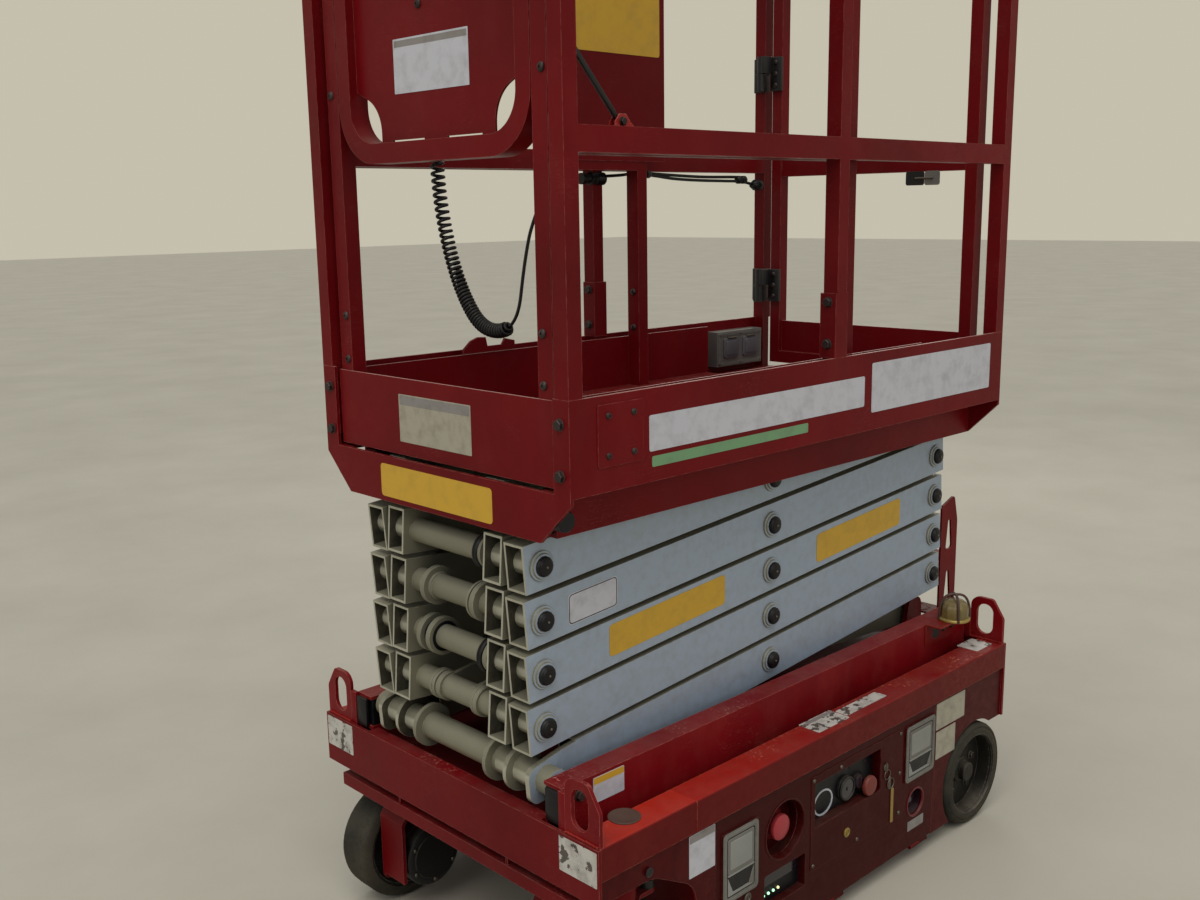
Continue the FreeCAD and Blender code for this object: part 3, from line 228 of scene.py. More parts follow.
def lampFinish(name, main, strength):
    material, tree, place = newFinish(name)
    glow = mix(tree, noise(tree, place, 300.0), colour(*main), colour(235, 255, 235))
    shader = addNode(tree, "ShaderNodeBsdfPrincipled", {
        "Base Color": colour(*main), "Roughness": 0.2, "Emission Color": glow, "Emission Strength": strength,
    })
    finished(tree, shader)
    return material


finishes = {
    "red": wornFinish(
        "red paint", (112, 17, 22), second=(96, 14, 20), worn=(184, 122, 108), rough=(0.32, 0.46),
        shine=0.12, wear=0.6, scratch=0.3, dusty=0.1, speckle=0.4, smudge=0.03, bump=0.06, broad=3.0,
        zones=(
            # painted shade on the chassis sides; the toe boards' upper edges paler, partly rubbed paint and
            # partly a painted highlight
            ("Y", 0.36, 0.3785, 0.0003, "Y", (62, 9, 11), 0.9),
            ("Z", 1.0575, 1.0662, 0.0003, "Z", (190, 140, 130), 0.8),
        ),
    ),
    "redWornLit": wornFinish(
        "worn red paint, painted light", (122, 24, 22), second=(100, 16, 18), worn=(204, 118, 88), rough=(0.32, 0.5),
        shine=0.15, wear=0.8, scratch=0.45, dusty=0.1, speckle=0.9, smudge=0.04, bump=0.1, broad=5.0,
        zones=(
            # painted shade on the hood's sides, painted light on its top, which grows brighter towards the front
            ("Y", 0.3785, 0.383, 0.0003, "Y", (92, 14, 14), 0.9),
            ("Z", 0.378, 0.384, 0.0003, "Z", (124, 22, 22), 0.8),
            ("X", -0.1, 0.68, 0.5, "Z", (168, 38, 28), 0.8),
            ("X", 0.4435, 0.68, 0.0003, "Z", (182, 48, 34), 0.6),
        ),
    ),
    # painted shade: the doors, their control cover and the stop button's lip get a darker red for the shade they
    # sit in
    "doorShadedRed": wornFinish(
        "door paint, painted shade", (66, 10, 12), second=(58, 8, 10), worn=(150, 92, 82), rough=(0.34, 0.5),
        shine=0.12, wear=0.5, scratch=0.3, dusty=0.1, smudge=0.04, bump=0.06, broad=3.0,
    ),
    "railRed": wornFinish(
        "rail paint", (126, 20, 26), second=(108, 16, 22), worn=(204, 128, 108), rough=(0.32, 0.5),
        shine=0.15, wear=0.8, scratch=0.45, dusty=0.12, speckle=0.9, smudge=0.08, bump=0.1, broad=5.0,
    ),
    # painted shade: the warm grey main tone is the shaded look of the arms' inner faces
    "silver": wornFinish(
        "silver paint", (132, 128, 108), second=(120, 117, 99), worn=(192, 188, 168), rough=(0.38, 0.54),
        metal=0.2, wear=0.75, scratch=0.1, dusty=0.2, dust=(150, 142, 122), bump=0.12, bumpScale=700.0,
        chips=0.8, zones=(
            # painted light and shade: outer faces paler and bluer, a painted sky reflection; painted shade in the
            # hollows of the arm tubes; cut ends paler, a painted reflection
            ("Y", 0.2105, 0.4, 0.0003, "Y", (160, 173, 186), 1.0),
            ("Y", 0.1697, 0.2083, 0.0003, "Y", (50, 47, 39), 0.9),
            ("Y", 0.1137, 0.1523, 0.0003, "Y", (50, 47, 39), 0.9),
            ("Y", 0.1095, 0.2125, 0.0003, "X", (184, 180, 158), 0.8),
        ),
    ),
    "rim": wornFinish(
        "rim paint", (46, 43, 39), second=(36, 33, 30), worn=(150, 144, 128), rough=(0.4, 0.6),
        metal=0.4, edge=0.002, wear=0.9, dusty=0.5,
    ),
    "blackPlastic": wornFinish(
        "black plastic", (16, 16, 19), second=(22, 22, 26), worn=(66, 64, 64), rough=(0.3, 0.5),
        shine=0.3, wear=0.4, scratch=0.1, dusty=0.12, bump=0.2,
    ),
    "hornPlastic": wornFinish(
        "dark horn", (44, 20, 34), second=(34, 16, 28), worn=(90, 70, 74), rough=(0.4, 0.6),
        wear=0.3, dusty=0.2,
    ),
    "blackPaint": wornFinish(
        "black paint", (30, 29, 30), second=(24, 24, 25), worn=(96, 88, 80), rough=(0.35, 0.55),
        wear=0.6, dusty=0.3,
    ),
    "chrome": wornFinish(
        "chrome rod", (196, 197, 199), second=(184, 186, 190), worn=(150, 146, 140), rough=(0.08, 0.2),
        metal=1.0, wear=0.2, scratch=0.1, dusty=0.2, bump=0.02,
    ),
    "cast": wornFinish(
        "grey casting", (128, 127, 120), second=(106, 104, 97), worn=(172, 168, 160), rough=(0.4, 0.62),
        metal=0.4, wear=0.7, dusty=0.3, bump=0.4, bumpScale=300.0, fine=90.0,
    ),
    # also the pale facets of the latch hollows, painted light
    "latchPadLit": wornFinish(
        "polished latch pad, painted light", (158, 160, 156), second=(140, 141, 136), worn=(196, 192, 186), rough=(0.3, 0.5),
        metal=0.5, wear=0.7, dusty=0.3, bump=0.2, bumpScale=300.0,
    ),
    "zinc": wornFinish(
        "zinc bolts", (120, 116, 108), second=(96, 90, 82), worn=(170, 166, 158), rough=(0.3, 0.5),
        metal=0.85, wear=0.6, edge=0.0006, dusty=0.2,
    ),
    "bolt": wornFinish(
        "dark bolts", (66, 58, 56), second=(52, 44, 44), worn=(140, 128, 120), rough=(0.35, 0.55),
        metal=0.6, wear=0.7, edge=0.0006, dusty=0.2,
    ),
    "brass": wornFinish(
        "brass tag", (172, 148, 82), second=(150, 126, 64), worn=(206, 190, 134), rough=(0.3, 0.5),
        metal=0.5, edge=0.0005,
    ),
    "beacon": wornFinish(
        "beacon dome", (126, 110, 66), second=(102, 86, 48), worn=(196, 182, 136), rough=(0.22, 0.4),
        coat=0.3, wear=0.5, scratch=0.1, dusty=0.3, broad=30.0,
    ),
    "brown": wornFinish(
        "brown guard", (76, 54, 46), second=(62, 43, 38), worn=(130, 106, 92), rough=(0.35, 0.5),
        wear=0.4, dusty=0.2,
    ),
    "orangeRed": wornFinish(
        "bright red paint", (176, 34, 24), second=(158, 26, 20), worn=(228, 190, 176), rough=(0.35, 0.5),
        wear=0.9, scratch=0.5, dusty=0.1, edge=0.001,
    ),
    "greyPlastic": wornFinish(
        "grey plastic", (98, 96, 98), second=(84, 83, 86), worn=(140, 138, 136), rough=(0.4, 0.6),
        wear=0.4, scratch=0.1, dusty=0.3,
    ),
    "button": wornFinish(
        "pink red button", (176, 58, 62), second=(164, 50, 56), worn=(200, 120, 116), rough=(0.3, 0.45),
        coat=0.2, wear=0.3, scratch=0.1, dusty=0.1,
    ),
    "panelButton": wornFinish(
        "faded red button", (130, 56, 46), second=(116, 50, 42), worn=(176, 116, 100), rough=(0.35, 0.5),
        wear=0.4, scratch=0.1, dusty=0.2,
    ),
    "hornRim": wornFinish(
        "rubbed rim", (104, 36, 40), second=(90, 24, 28), worn=(158, 104, 104), rough=(0.35, 0.5),
        wear=0.8, edge=0.001,
    ),
    "screen": wornFinish(
        "dark screen", (26, 24, 30), second=(34, 30, 40), worn=(60, 58, 60), rough=(0.08, 0.2),
        coat=0.6, wear=0.1, scratch=0.2, dusty=0.1,
    ),
    "tyre": tyreFinish(),
    "white": labelFinish("white sticker", (196, 195, 198), dirty=0.35),
    "scuffed": labelFinish("scuffed sticker", (196, 190, 178), dirty=0.8, torn=0.9),
    "cream": labelFinish("cream sticker", (166, 158, 138), dirty=0.5),
    "yellow": labelFinish("yellow sticker", (206, 160, 44), dirty=0.2),
    "green": labelFinish("green sticker", (112, 152, 108), dirty=0.35),
    "greyLabel": labelFinish("grey sticker", (136, 130, 124), dirty=0.5),
    "greenLamp": lampFinish("green lamp", (90, 230, 150), 1.6),
    "yellowLamp": lampFinish("yellow lamp", (230, 220, 80), 1.2),
}

# Finishes of the frame's own parts, by the first words of their names
nodeFinishes = (
    ("side_door", "doorShadedRed"), ("side_covers", "redWornLit"), ("slide_rails", "railRed"),
    ("tie_down_lugs", "railRed"), ("tyre", "tyre"), ("rim", "rim"), ("outer_arms", "silver"),
    ("inner_arms", "silver"), ("cylinder_rod", "chrome"), ("cylinder_barrel", "blackPaint"),
    ("slide", "blackPlastic"), ("lower_slide", "blackPlastic"), ("upper_slide", "blackPlastic"),
    ("door_controls", "blackPlastic"), ("curly_cord", "blackPlastic"), ("outlet_box", "cast"),
    ("beacon", "beacon"), ("rear_axles", "rim"), ("battery_packs", "blackPlastic"),
    ("control_box", "blackPlastic"), ("tie_rod", "blackPaint"),
)


def dressNodes():
    for name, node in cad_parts.items():
        found = next((f for start, f in nodeFinishes if name.startswith(start)), "red")
        if not node.material_slots:
            node.data.materials.append(finishes[found])
        for slot in node.material_slots:
            slot.material = finishes[found]


dressNodes()
print("finishes made")


# Shapes, drawn in millimetres on the machine

def joinRings(bm, rings, steps, finish=0):
    # a ring of one point is a pole
    for low, high in zip(rings, rings[1:]):
        for k in range(steps):
            n = (k + 1) % steps
            corners = [low[k % len(low)], low[n % len(low)], high[n % len(high)], high[k % len(high)]]
            corners = list(dict.fromkeys(corners))
            if len(corners) > 2:
                bm.faces.new(corners).material_index = finish


def addLathe(bm, profile, centre, axis, steps=32, finish=0):
    turn = Vector(axis).normalized().to_track_quat("Z", "Y").to_matrix()
    rings = []
    for radius, height in profile:
        count = steps if radius > 0.001 else 1
        ring = []
        for k in range(count):
            a = 2 * math.pi * k / steps
            local = Vector((radius * math.cos(a), radius * math.sin(a), height))
            ring.append(bm.verts.new(at(*(Vector(centre) + turn @ local))))
        rings.append(ring)
    joinRings(bm, rings, steps, finish)


def addSolid(bm, points, faces, finish=0, rounding=0.0, steps=2):
    verts = [bm.verts.new(at(*p)) for p in points]
    made = [bm.faces.new([verts[i] for i in face]) for face in faces]
    bmesh.ops.recalc_face_normals(bm, faces=made)
    for face in made:
        face.material_index = finish
    if rounding:
        edges = list({e for face in made for e in face.edges})
        bmesh.ops.bevel(
            bm, geom=edges, offset=rounding / 1000, segments=steps, profile=0.5, affect="EDGES",
            clamp_overlap=True, material=-1,
        )


def addBlock(bm, x0, x1, y0, y1, z0, z1, finish=0, rounding=0.0, steps=2):
    points = [(x, y, z) for x in (x0, x1) for y in (y0, y1) for z in (z0, z1)]
    faces = [(0, 1, 3, 2), (4, 6, 7, 5), (0, 4, 5, 1), (2, 3, 7, 6), (0, 2, 6, 4), (1, 5, 7, 3)]
    addSolid(bm, points, faces, finish, rounding, steps)


def roundedOutline(u0, u1, v0, v1, radius, steps=5):
    points = []
    middles = ((u1 - radius, v1 - radius, 0), (u0 + radius, v1 - radius, 90),
               (u0 + radius, v0 + radius, 180), (u1 - radius, v0 + radius, 270))
    for u, v, start in middles:
        for k in range(steps + 1):
            a = math.radians(start + 90 * k / steps)
            points.append((u + radius * math.cos(a), v + radius * math.sin(a)))
    return points


def circleOutline(u, v, radiusU, radiusV=None, steps=32):
    radiusV = radiusV or radiusU
    turns = [2 * math.pi * k / steps for k in range(steps)]
    return [(u + radiusU * math.cos(a), v + radiusV * math.sin(a)) for a in turns]


def placed(axis, u, v, depth):
    # a point of an outline that is seen along the x, y or z axis
    return {"x": (depth, u, v), "y": (u, depth, v), "z": (u, v, depth)}[axis]


def addPrism(bm, outline, axis, low, high, finish=0, rounding=0.0, steps=1):
    n = len(outline)
    points = [placed(axis, u, v, low) for u, v in outline] + [placed(axis, u, v, high) for u, v in outline]
    faces = [tuple(range(n)), tuple(range(n, 2 * n))]
    faces += [(k, (k + 1) % n, n + (k + 1) % n, n + k) for k in range(n)]
    addSolid(bm, points, faces, finish, rounding, steps)


def addRing(bm, outer, inner, axis, low, high, finish=0):
    # a plate with one hole; both outlines have as many points
    n = len(outer)
    verts = []
    for outline, depth in ((outer, low), (outer, high), (inner, high), (inner, low)):
        verts.append([bm.verts.new(at(*placed(axis, u, v, depth))) for u, v in outline])
    made = []
    for first, second in zip(verts, verts[1:] + verts[:1]):
        for k in range(n):
            m = (k + 1) % n
            made.append(bm.faces.new((first[k], first[m], second[m], second[k])))
    bmesh.ops.recalc_face_normals(bm, faces=made)
    for face in made:
        face.material_index = finish


def addPipe(bm, route, radius, steps=12, finish=0, closed=False):
    points = [Vector(p) for p in route]
    count = len(points)
    rings = []
    side = None
    for i, point in enumerate(points):
        before = points[(i - 1) % count] if closed or i else point
        after = points[(i + 1) % count] if closed or i < count - 1 else point
        along = (after - before).normalized()
        if side is None:
            side = along.orthogonal().normalized()
        side = (side - along * side.dot(along)).normalized()
        other = along.cross(side)
        ring = []
        for k in range(steps):
            a = 2 * math.pi * k / steps
            ring.append(bm.verts.new(at(*(point + radius * (math.cos(a) * side + math.sin(a) * other)))))
        rings.append(ring)
    joinRings(bm, rings + ([rings[0]] if closed else []), steps, finish)
    if not closed:
        bm.faces.new(list(reversed(rings[0]))).material_index = finish
        bm.faces.new(rings[-1]).material_index = finish


def arcRoute(centre, radius, start, end, axis, steps=10):
    points = []
    for k in range(steps + 1):
        a = math.radians(start + (end - start) * k / steps)
        u, v = radius * math.cos(a), radius * math.sin(a)
        points.append(Vector(centre) + Vector(placed(axis, u, v, 0.0)))
    return points


def finishPiece(name, bm, used, body, smooth=35):
    bmesh.ops.remove_doubles(bm, verts=bm.verts, dist=0.000002)
    bmesh.ops.recalc_face_normals(bm, faces=bm.faces)
    mesh = bpy.data.meshes.new(name)
    bm.to_mesh(mesh)
    bm.free()
    for key in used:
        mesh.materials.append(finishes[key])
    mesh.shade_smooth()
    mesh.set_sharp_from_angle(angle=math.radians(smooth))
    piece = linked(name, mesh)
    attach(piece, body)
    return piece


# Copies of a small part on a list of spots, by Geometry Nodes

def copiesTree():
    tree = bpy.data.node_groups.new("copies on spots", "GeometryNodeTree")
    wanted = (
        ("Spots", "NodeSocketGeometry"), ("Part", "NodeSocketObject"), ("Finish", "NodeSocketMaterial"),
        ("Size", "NodeSocketFloat"), ("Loose Turn", "NodeSocketFloat"), ("Seed", "NodeSocketInt"),
    )
    for label, kind in wanted:
        tree.interface.new_socket(label, in_out="INPUT", socket_type=kind)
    tree.interface.new_socket("Geometry", in_out="OUTPUT", socket_type="NodeSocketGeometry")
    given = tree.nodes.new("NodeGroupInput").outputs
    outward = addNode(tree, "GeometryNodeInputNamedAttribute", {"Name": "outward"}, data_type="FLOAT_VECTOR")
    turned = addNode(tree, "GeometryNodeInputNamedAttribute", {"Name": "turned"}, data_type="FLOAT")
    stand = addNode(tree, "FunctionNodeAlignRotationToVector", {"Vector": outward.outputs[0]}, axis="Z")
    loose = addNode(tree, "FunctionNodeRandomValue", {"Seed": given["Seed"]}, data_type="FLOAT")
    sockets = [s for s in loose.inputs if s.type == "VALUE"]
    sockets[0].default_value = 0.0
    tree.links.new(given["Loose Turn"], sockets[1])
    angle = addNode(tree, "ShaderNodeMath", {0: turned.outputs[0], 1: loose.outputs[1]}, operation="ADD")
    spin = addNode(tree, "FunctionNodeAxisAngleToRotation", {"Angle": angle.outputs[0]})
    spin.inputs["Axis"].default_value = (0, 0, 1)
    both = addNode(tree, "FunctionNodeRotateRotation", rotation_space="LOCAL")
    tree.links.new(stand.outputs[0], both.inputs[0])
    tree.links.new(spin.outputs[0], both.inputs[1])
    part = addNode(tree, "GeometryNodeObjectInfo", {"Object": given["Part"]})
    spots = addNode(tree, "GeometryNodeInstanceOnPoints", {
        "Points": given["Spots"], "Instance": part.outputs["Geometry"], "Rotation": both.outputs[0],
    })
    tree.links.new(given["Size"], spots.inputs["Scale"])
    real = addNode(tree, "GeometryNodeRealizeInstances", {"Geometry": spots.outputs[0]})
    painted = addNode(tree, "GeometryNodeSetMaterial", {
        "Geometry": real.outputs[0], "Material": given["Finish"],
    })
    result = tree.nodes.new("NodeGroupOutput")
    tree.links.new(painted.outputs[0], result.inputs[0])
    return tree


copiesGroup = copiesTree()


def copies(name, part, spots, finish, body, size=1.0, looseTurn=0.0, seed=3):
    # spots: (place in mm, outward direction, turn in degrees)
    mesh = bpy.data.meshes.new(name + " spots")
    mesh.from_pydata([at(*spot[0]) for spot in spots], [], [])
    mesh.attributes.new("outward", "FLOAT_VECTOR", "POINT")
    mesh.attributes.new("turned", "FLOAT", "POINT")
    for k, spot in enumerate(spots):
        mesh.attributes["outward"].data[k].vector = Vector(spot[1]).normalized()
        mesh.attributes["turned"].data[k].value = math.radians(spot[2] if len(spot) > 2 else 0.0)
    holder = linked(name + " spots", mesh)
    modifier = holder.modifiers.new("copies", "NODES")
    modifier.node_group = copiesGroup
    values = {
        "Part": part, "Finish": finishes[finish], "Size": size, "Loose Turn": looseTurn, "Seed": seed,
    }
    for item in copiesGroup.interface.items_tree:
        if item.in_out == "INPUT" and item.name in values:
            modifier[item.identifier] = values[item.name]
    depsgraph = bpy.context.evaluated_depsgraph_get()
    made = bpy.data.meshes.new_from_object(holder.evaluated_get(depsgraph), depsgraph=depsgraph)
    made.name = name
    holder.modifiers.clear()
    bpy.data.objects.remove(holder)
    made.materials.clear()
    made.materials.append(finishes[finish])
    made.shade_smooth()
    made.set_sharp_from_angle(angle=math.radians(35))
    piece = linked(name, made)
    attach(piece, body)
    return piece


def partShape(name, profiles, steps):
    # a small part with its axis along Z, foot at the origin, in metres
    bm = bmesh.new()
    for profile, sides in zip(profiles, steps):
        rings = []
        for radius, height in profile:
            count = sides if radius > 0 else 1
            turns = [2 * math.pi * k / sides for k in range(count)]
            rings.append([
                bm.verts.new((radius / 1000 * math.cos(a), radius / 1000 * math.sin(a), height / 1000))
                for a in turns
            ])
        joinRings(bm, rings, sides)
    bmesh.ops.recalc_face_normals(bm, faces=bm.faces)
    mesh = bpy.data.meshes.new(name)
    bm.to_mesh(mesh)
    bm.free()
    part = linked(name, mesh)
    return part


smallParts = {
    # hex bolt M10 on its washer
    "hexBolt": partShape("hex bolt", (
        ((0, -1), (10, -1), (10, 1.6), (9.4, 2), (0, 2)),
        ((0, 0), (8.2, 0), (8.8, 2), (8.8, 7.2), (7.8, 8.2), (0, 8.2)),
    ), (20, 6)),
    # low round head screw with a dimple
    "roundScrew": partShape("round screw", (
        ((0, -0.5), (5, -0.5), (5, 0.8), (4.4, 2), (3, 2.8), (1.7, 3.1), (1.5, 2), (0, 2)),
    ), (16,)),
    # stepped ring round an arm's pin, its black cap and a small zinc dot in the middle, a painted highlight
    "pinRing": partShape("pin ring", (
        ((24.8, -3.2), (24.8, 0.2), (24, 0.9), (21.4, 0.9), (20.8, 1.4), (20.6, 3.2), (19.8, 3.9),
         (16.4, 4), (15, 4.6), (15, -1), (24.8, -3.2)),
    ), (32,)),
    "pinCap": partShape("pin cap", (
        ((0, 2), (16.6, 2), (17, 4.4), (16.8, 7.4), (15.4, 9.6), (13.4, 10.6), (12.6, 10.4), (12, 11.4),
         (8, 12.2), (0, 12.4)),
    ), (14,)),
    "pinGlint": partShape("pin dot", (((0, 11), (2.2, 11), (2.2, 13.4), (1.4, 14.4), (0, 14.6)),), (10,)),
    # raised bar of a tread plate, drawn out to 26 by 6.4 below
    "treadBar": partShape("tread bar", (((0, -0.4), (1, -0.4), (0.8, 0.55), (0.35, 0.95), (0, 1)),), (10,)),
}
for vertex in smallParts["treadBar"].data.vertices:
    vertex.co.x *= 13
    vertex.co.y *= 3.2

print("small parts made")


# Arms: caps on the pins, rings on the cross tubes, stickers

armPlan = {
    "rearPin": -583.5, "span": 1162.03, "firstPin": 427.3, "pitch": 89.86, "capFace": 215.0,
    "labelFace": 212.0, "labelThick": 0.8, "labelRound": 8.0,
}


def armPoint(level, along, outer=True):
    # along runs from 0 at the rear pin to 1 at the front pin
    a = armPlan
    rear = level if outer else level - 1
    front = level - 1 if outer else level
    rise = rear + (front - rear) * along
    return a["rearPin"] + a["span"] * along, a["firstPin"] + a["pitch"] * rise


def armCaps():
    for level in range(1, 6):
        spots = []
        shares = [0.5] + ([0.0] if level < 5 else []) + ([1.0] if level > 1 else [])
        for along in shares:
            x, z = armPoint(level, along)
            for side in (1, -1):
                spots.append(((x, side * armPlan["capFace"], z), (0, side, 0)))
        body = "outer_%d" % level
        copies("pin_rings_%d" % level, smallParts["pinRing"], spots, "silver", body)
        copies("pin_caps_%d" % level, smallParts["pinCap"], spots, "blackPlastic", body)
        # painted highlight: a zinc dot in the middle of each cap
        copies("pin_dots_%d" % level, smallParts["pinGlint"], spots, "zinc", body)


def armSticker(name, level, x0, x1, rise, height, used, border=None):
    a = armPlan
    slope = -a["pitch"] / a["span"]
    bm = bmesh.new()
    outline = roundedOutline(x0, x1, -height / 2, height / 2, a["labelRound"])
    rearX, rearZ = armPoint(level, 0.0)

    def sloped(points):
        return [(u, v + rearZ + (u - rearX) * slope + rise) for u, v in points]

    face = a["labelFace"] + a["labelThick"]
    addPrism(bm, sloped(outline), "y", a["labelFace"] - 0.3, face)
    if border:
        outer = roundedOutline(x0 + 1.5, x1 - 1.5, 1.5 - height / 2, height / 2 - 1.5, a["labelRound"] - 1)
        inner = roundedOutline(x0 + 3, x1 - 3, 3 - height / 2, height / 2 - 3, a["labelRound"] - 2)
        addRing(bm, sloped(outer), sloped(inner), "y", face - 0.2, face + 0.15, 1)
    return finishPiece(name, bm, [used] + ([border] if border else []), "outer_%d" % level)


armCaps()
armSticker("arm_sticker_front", 4, 411, 523, -2, 53, "white", "blackPlastic")
armSticker("arm_sticker_middle", 3, 133, 431, 4, 56, "yellow")
armSticker("arm_sticker_rear", 3, -447, -149, 0, 58, "yellow")


tubeRingPlan = {"tube": 21.2, "ring": 34.0, "ringInner": 27.5, "gap": 7.0, "width": 6.0, "seal": 32.0}


def splitOutline(x, z, radius, gap, steps=34):
    # a circle that starts and ends beside a gap a little below the front
    turns = [math.radians(gap - 14 + (360 - 2 * gap) * k / steps) for k in range(steps + 1)]
    return [(x + radius * math.cos(a), z + radius * math.sin(a)) for a in turns]


def addSplitRing(bm, x, y, z, finish):
    t = tubeRingPlan
    outer = splitOutline(x, z, t["ring"], t["gap"])
    inner = splitOutline(x, z, t["ringInner"], t["gap"])
    addPrism(bm, outer + inner[::-1], "y", y - t["width"] / 2, y + t["width"] / 2, finish, 0.6)


def tubeRings():
    t = tubeRingPlan
    bm = bmesh.new()
    x, z = armPoint(2, 1.0, False)
    seal = [(t["tube"], -5), (26.8, -5), (26.8, 5), (t["tube"], 5), (t["tube"], -5)]
    for y in (-82, -51):
        addSplitRing(bm, x, y, z, 0)
        addLathe(bm, seal, (x, y, z), (0, 1, 0), 36, 1)
    between = [(t["tube"], -13), (25, -13), (25, 13), (t["tube"], 13), (t["tube"], -13)]
    addLathe(bm, between, (x, -66.5, z), (0, 1, 0), 36, 1)
    finishPiece("split_rings", bm, ["silver", "blackPlastic"], "inner_2")
    for level, y in ((4, 82), (2, 84)):
        x, z = armPoint(level, 1.0, False)
        r = t["seal"]
        bm = bmesh.new()
        washer = [(t["tube"], -6), (r - 1.5, -6), (r, -4), (r, -1.5), (r - 1.2, -0.8), (r - 1.2, 0.8),
                  (r, 1.5), (r, 4), (r - 1.5, 6), (t["tube"], 6), (t["tube"], -6)]
        addLathe(bm, washer, (x, y, z), (0, 1, 0), 36, 0)
        finishPiece("tube_seal_%d" % level, bm, ["blackPlastic"], "inner_%d" % level)
    x, z = armPoint(3, 1.0, False)
    bm = bmesh.new()
    flange = [(t["tube"], -8), (24, -7), (25, -2.4), (33, -2.2), (33.6, -1.6), (33.6, 1.6), (33, 2.2),
              (t["tube"], 2.4), (t["tube"], -8)]
    for side in (1, -1):
        addLathe(bm, flange, (x, side * 60, z), (0, side, 0), 40)
    finishPiece("tube_flanges", bm, ["silver"], "inner_3", 30)
    x, z = armPoint(1, 1.0, False)
    bm = bmesh.new()
    collar = [(t["tube"], -9), (26.4, -8), (27, -7), (27, -2.6), (25.4, -1.8), (25.4, 0), (27, 0.8), (27, 4),
              (26, 5), (t["tube"], 5.4), (t["tube"], -9)]
    for y in (-56, 58):
        addLathe(bm, collar, (x, y, z), (0, 1, 0), 40)
    finishPiece("tube_collars", bm, ["silver"], "inner_1", 30)


tubeRings()
print("arms dressed")


# Wheels

wheelPlan = {
    "radius": 113.0, "innerFace": {"front": 262.0, "rear": 305.0}, "x": {"front": 524.0, "rear": -508.0},
    "dish": 38.0, "bolts": 5, "boltCircle": 52.0, "boltTurn": 0.3,
}


def wheels():
    w = wheelPlan
    for end in ("front", "rear"):
        for side, word in ((1, "left"), (-1, "right")):
            body = "wheel_%s_%s" % (end, word)
            centre = (w["x"][end], side * w["innerFace"][end], w["radius"])
            axis = (0, side, 0)
            bm = bmesh.new()
            tyre = [
                (91, 0), (97, 0), (105, 1.2), (110.5, 4), (112.7, 9), (113, 16), (113, 60), (112.6, 67),
                (110, 72.5), (105, 75.2), (103, 73.6), (101, 75.4), (93, 76), (91, 75.6), (91, 0),
            ]
            addLathe(bm, tyre, centre, axis, 50)
            piece = finishPiece("tyre_tread_%s_%s" % (end, word), bm, ["tyre"], body, 50)
            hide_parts("tyre_%s_%s" % (end, word))
            bm = bmesh.new()
            lip = [(91.2, 66), (91.2, 75.2), (89.6, 75.9), (87.2, 75.4), (86, 73), (85, 66), (91.2, 66)]
            addLathe(bm, lip, centre, axis, 48, 0)
            hub = [(28.5, 37), (28.5, 45), (26, 47.5), (21, 48.5), (20.5, 62), (18, 64), (11, 64.4),
                   (0, 64.4)]
            addLathe(bm, hub, centre, axis, 32, 1)
            finishPiece("rim_lip_%s_%s" % (end, word), bm, ["rim", "rim"], body)
            spots = []
            for k in range(w["bolts"]):
                a = 2 * math.pi * k / w["bolts"] + w["boltTurn"]
                place = (centre[0] + w["boltCircle"] * math.cos(a), side * (w["innerFace"][end] + w["dish"]),
                         w["radius"] + w["boltCircle"] * math.sin(a))
                spots.append((place, axis))
            copies("wheel_bolts_%s_%s" % (end, word), smallParts["hexBolt"], spots, "rim", body, 0.9, 6.0)


motorPlan = {"x": 524.0, "z": 113.0, "face": 186.0, "screws": 6, "screwCircle": 50.0, "lead": 4.5}


def driveMotors():
    # the black housing of each front wheel's motor, with its lid's screws and a lead
    m = motorPlan
    profile = [(0, -1.6), (44, -1.6), (46, 0), (55, 0.4), (59.6, 3.4), (60.8, 7), (60.8, 24), (59.4, 25),
               (59.4, 29), (60.8, 30), (60.8, 57), (57, 57)]
    for side, word in ((1, "left"), (-1, "right")):
        bm = bmesh.new()
        addLathe(bm, profile, (m["x"], side * m["face"], m["z"]), (0, side, 0), 44)
        lead = ((490, 184, 124), (478, 176, 136), (466, 170, 160), (462, 176, 190))
        addPipe(bm, [(x, side * y, z) for x, y, z in lead], m["lead"], 10)
        finishPiece("drive_motor_" + word, bm, ["blackPaint"], "steering_" + word)
        spots = []
        for k in range(m["screws"]):
            a = 2 * math.pi * (k + 0.5) / m["screws"]
            place = (m["x"] + m["screwCircle"] * math.cos(a), side * (m["face"] - 0.2),
                     m["z"] + m["screwCircle"] * math.sin(a))
            spots.append((place, (0, -side, 0)))
        copies("drive_motor_screws_" + word, smallParts["roundScrew"], spots, "zinc", "steering_" + word,
               0.9, 6.0)


wheels()
driveMotors()
print("wheels dressed")


# Chassis: labels, caps and bolts

chassisPlan = {
    "frontFace": 625.0, "sideFace": 376.0, "hoodTop": 382.0, "railFace": 286.0, "sticker": 0.6,
    # name, axis, edges with their rounding, face, finish, band of a second colour
    "stickers": (
        ("rail_sticker", "y", (474, 544, 396, 440, 2), "railFace", "white", (475, 543, 428, 439, "yellow")),
        ("hood_sticker_front", "z", (-52, 45, 318, 366, 3), "hoodTop", "scuffed",
         (-50, 30, 320, 330, "greyLabel")),
        ("hood_sticker_middle", "z", (-190, -55, 330, 358, 3), "hoodTop", "scuffed", None),
        ("hood_sticker_rear", "z", (-598, -534, 312, 362, 3), "hoodTop", "scuffed", None),
        ("side_sticker_front", "y", (350, 415, 246, 322, 2), "sideFace", "white",
         (351, 414, 308, 321, "greyLabel")),
        ("side_sticker_rear_high", "y", (-463, -350, 262, 320, 2), "sideFace", "cream", None),
        ("side_sticker_rear_low", "y", (-428, -352, 196, 257, 2), "sideFace", "cream", None),
    ),
}


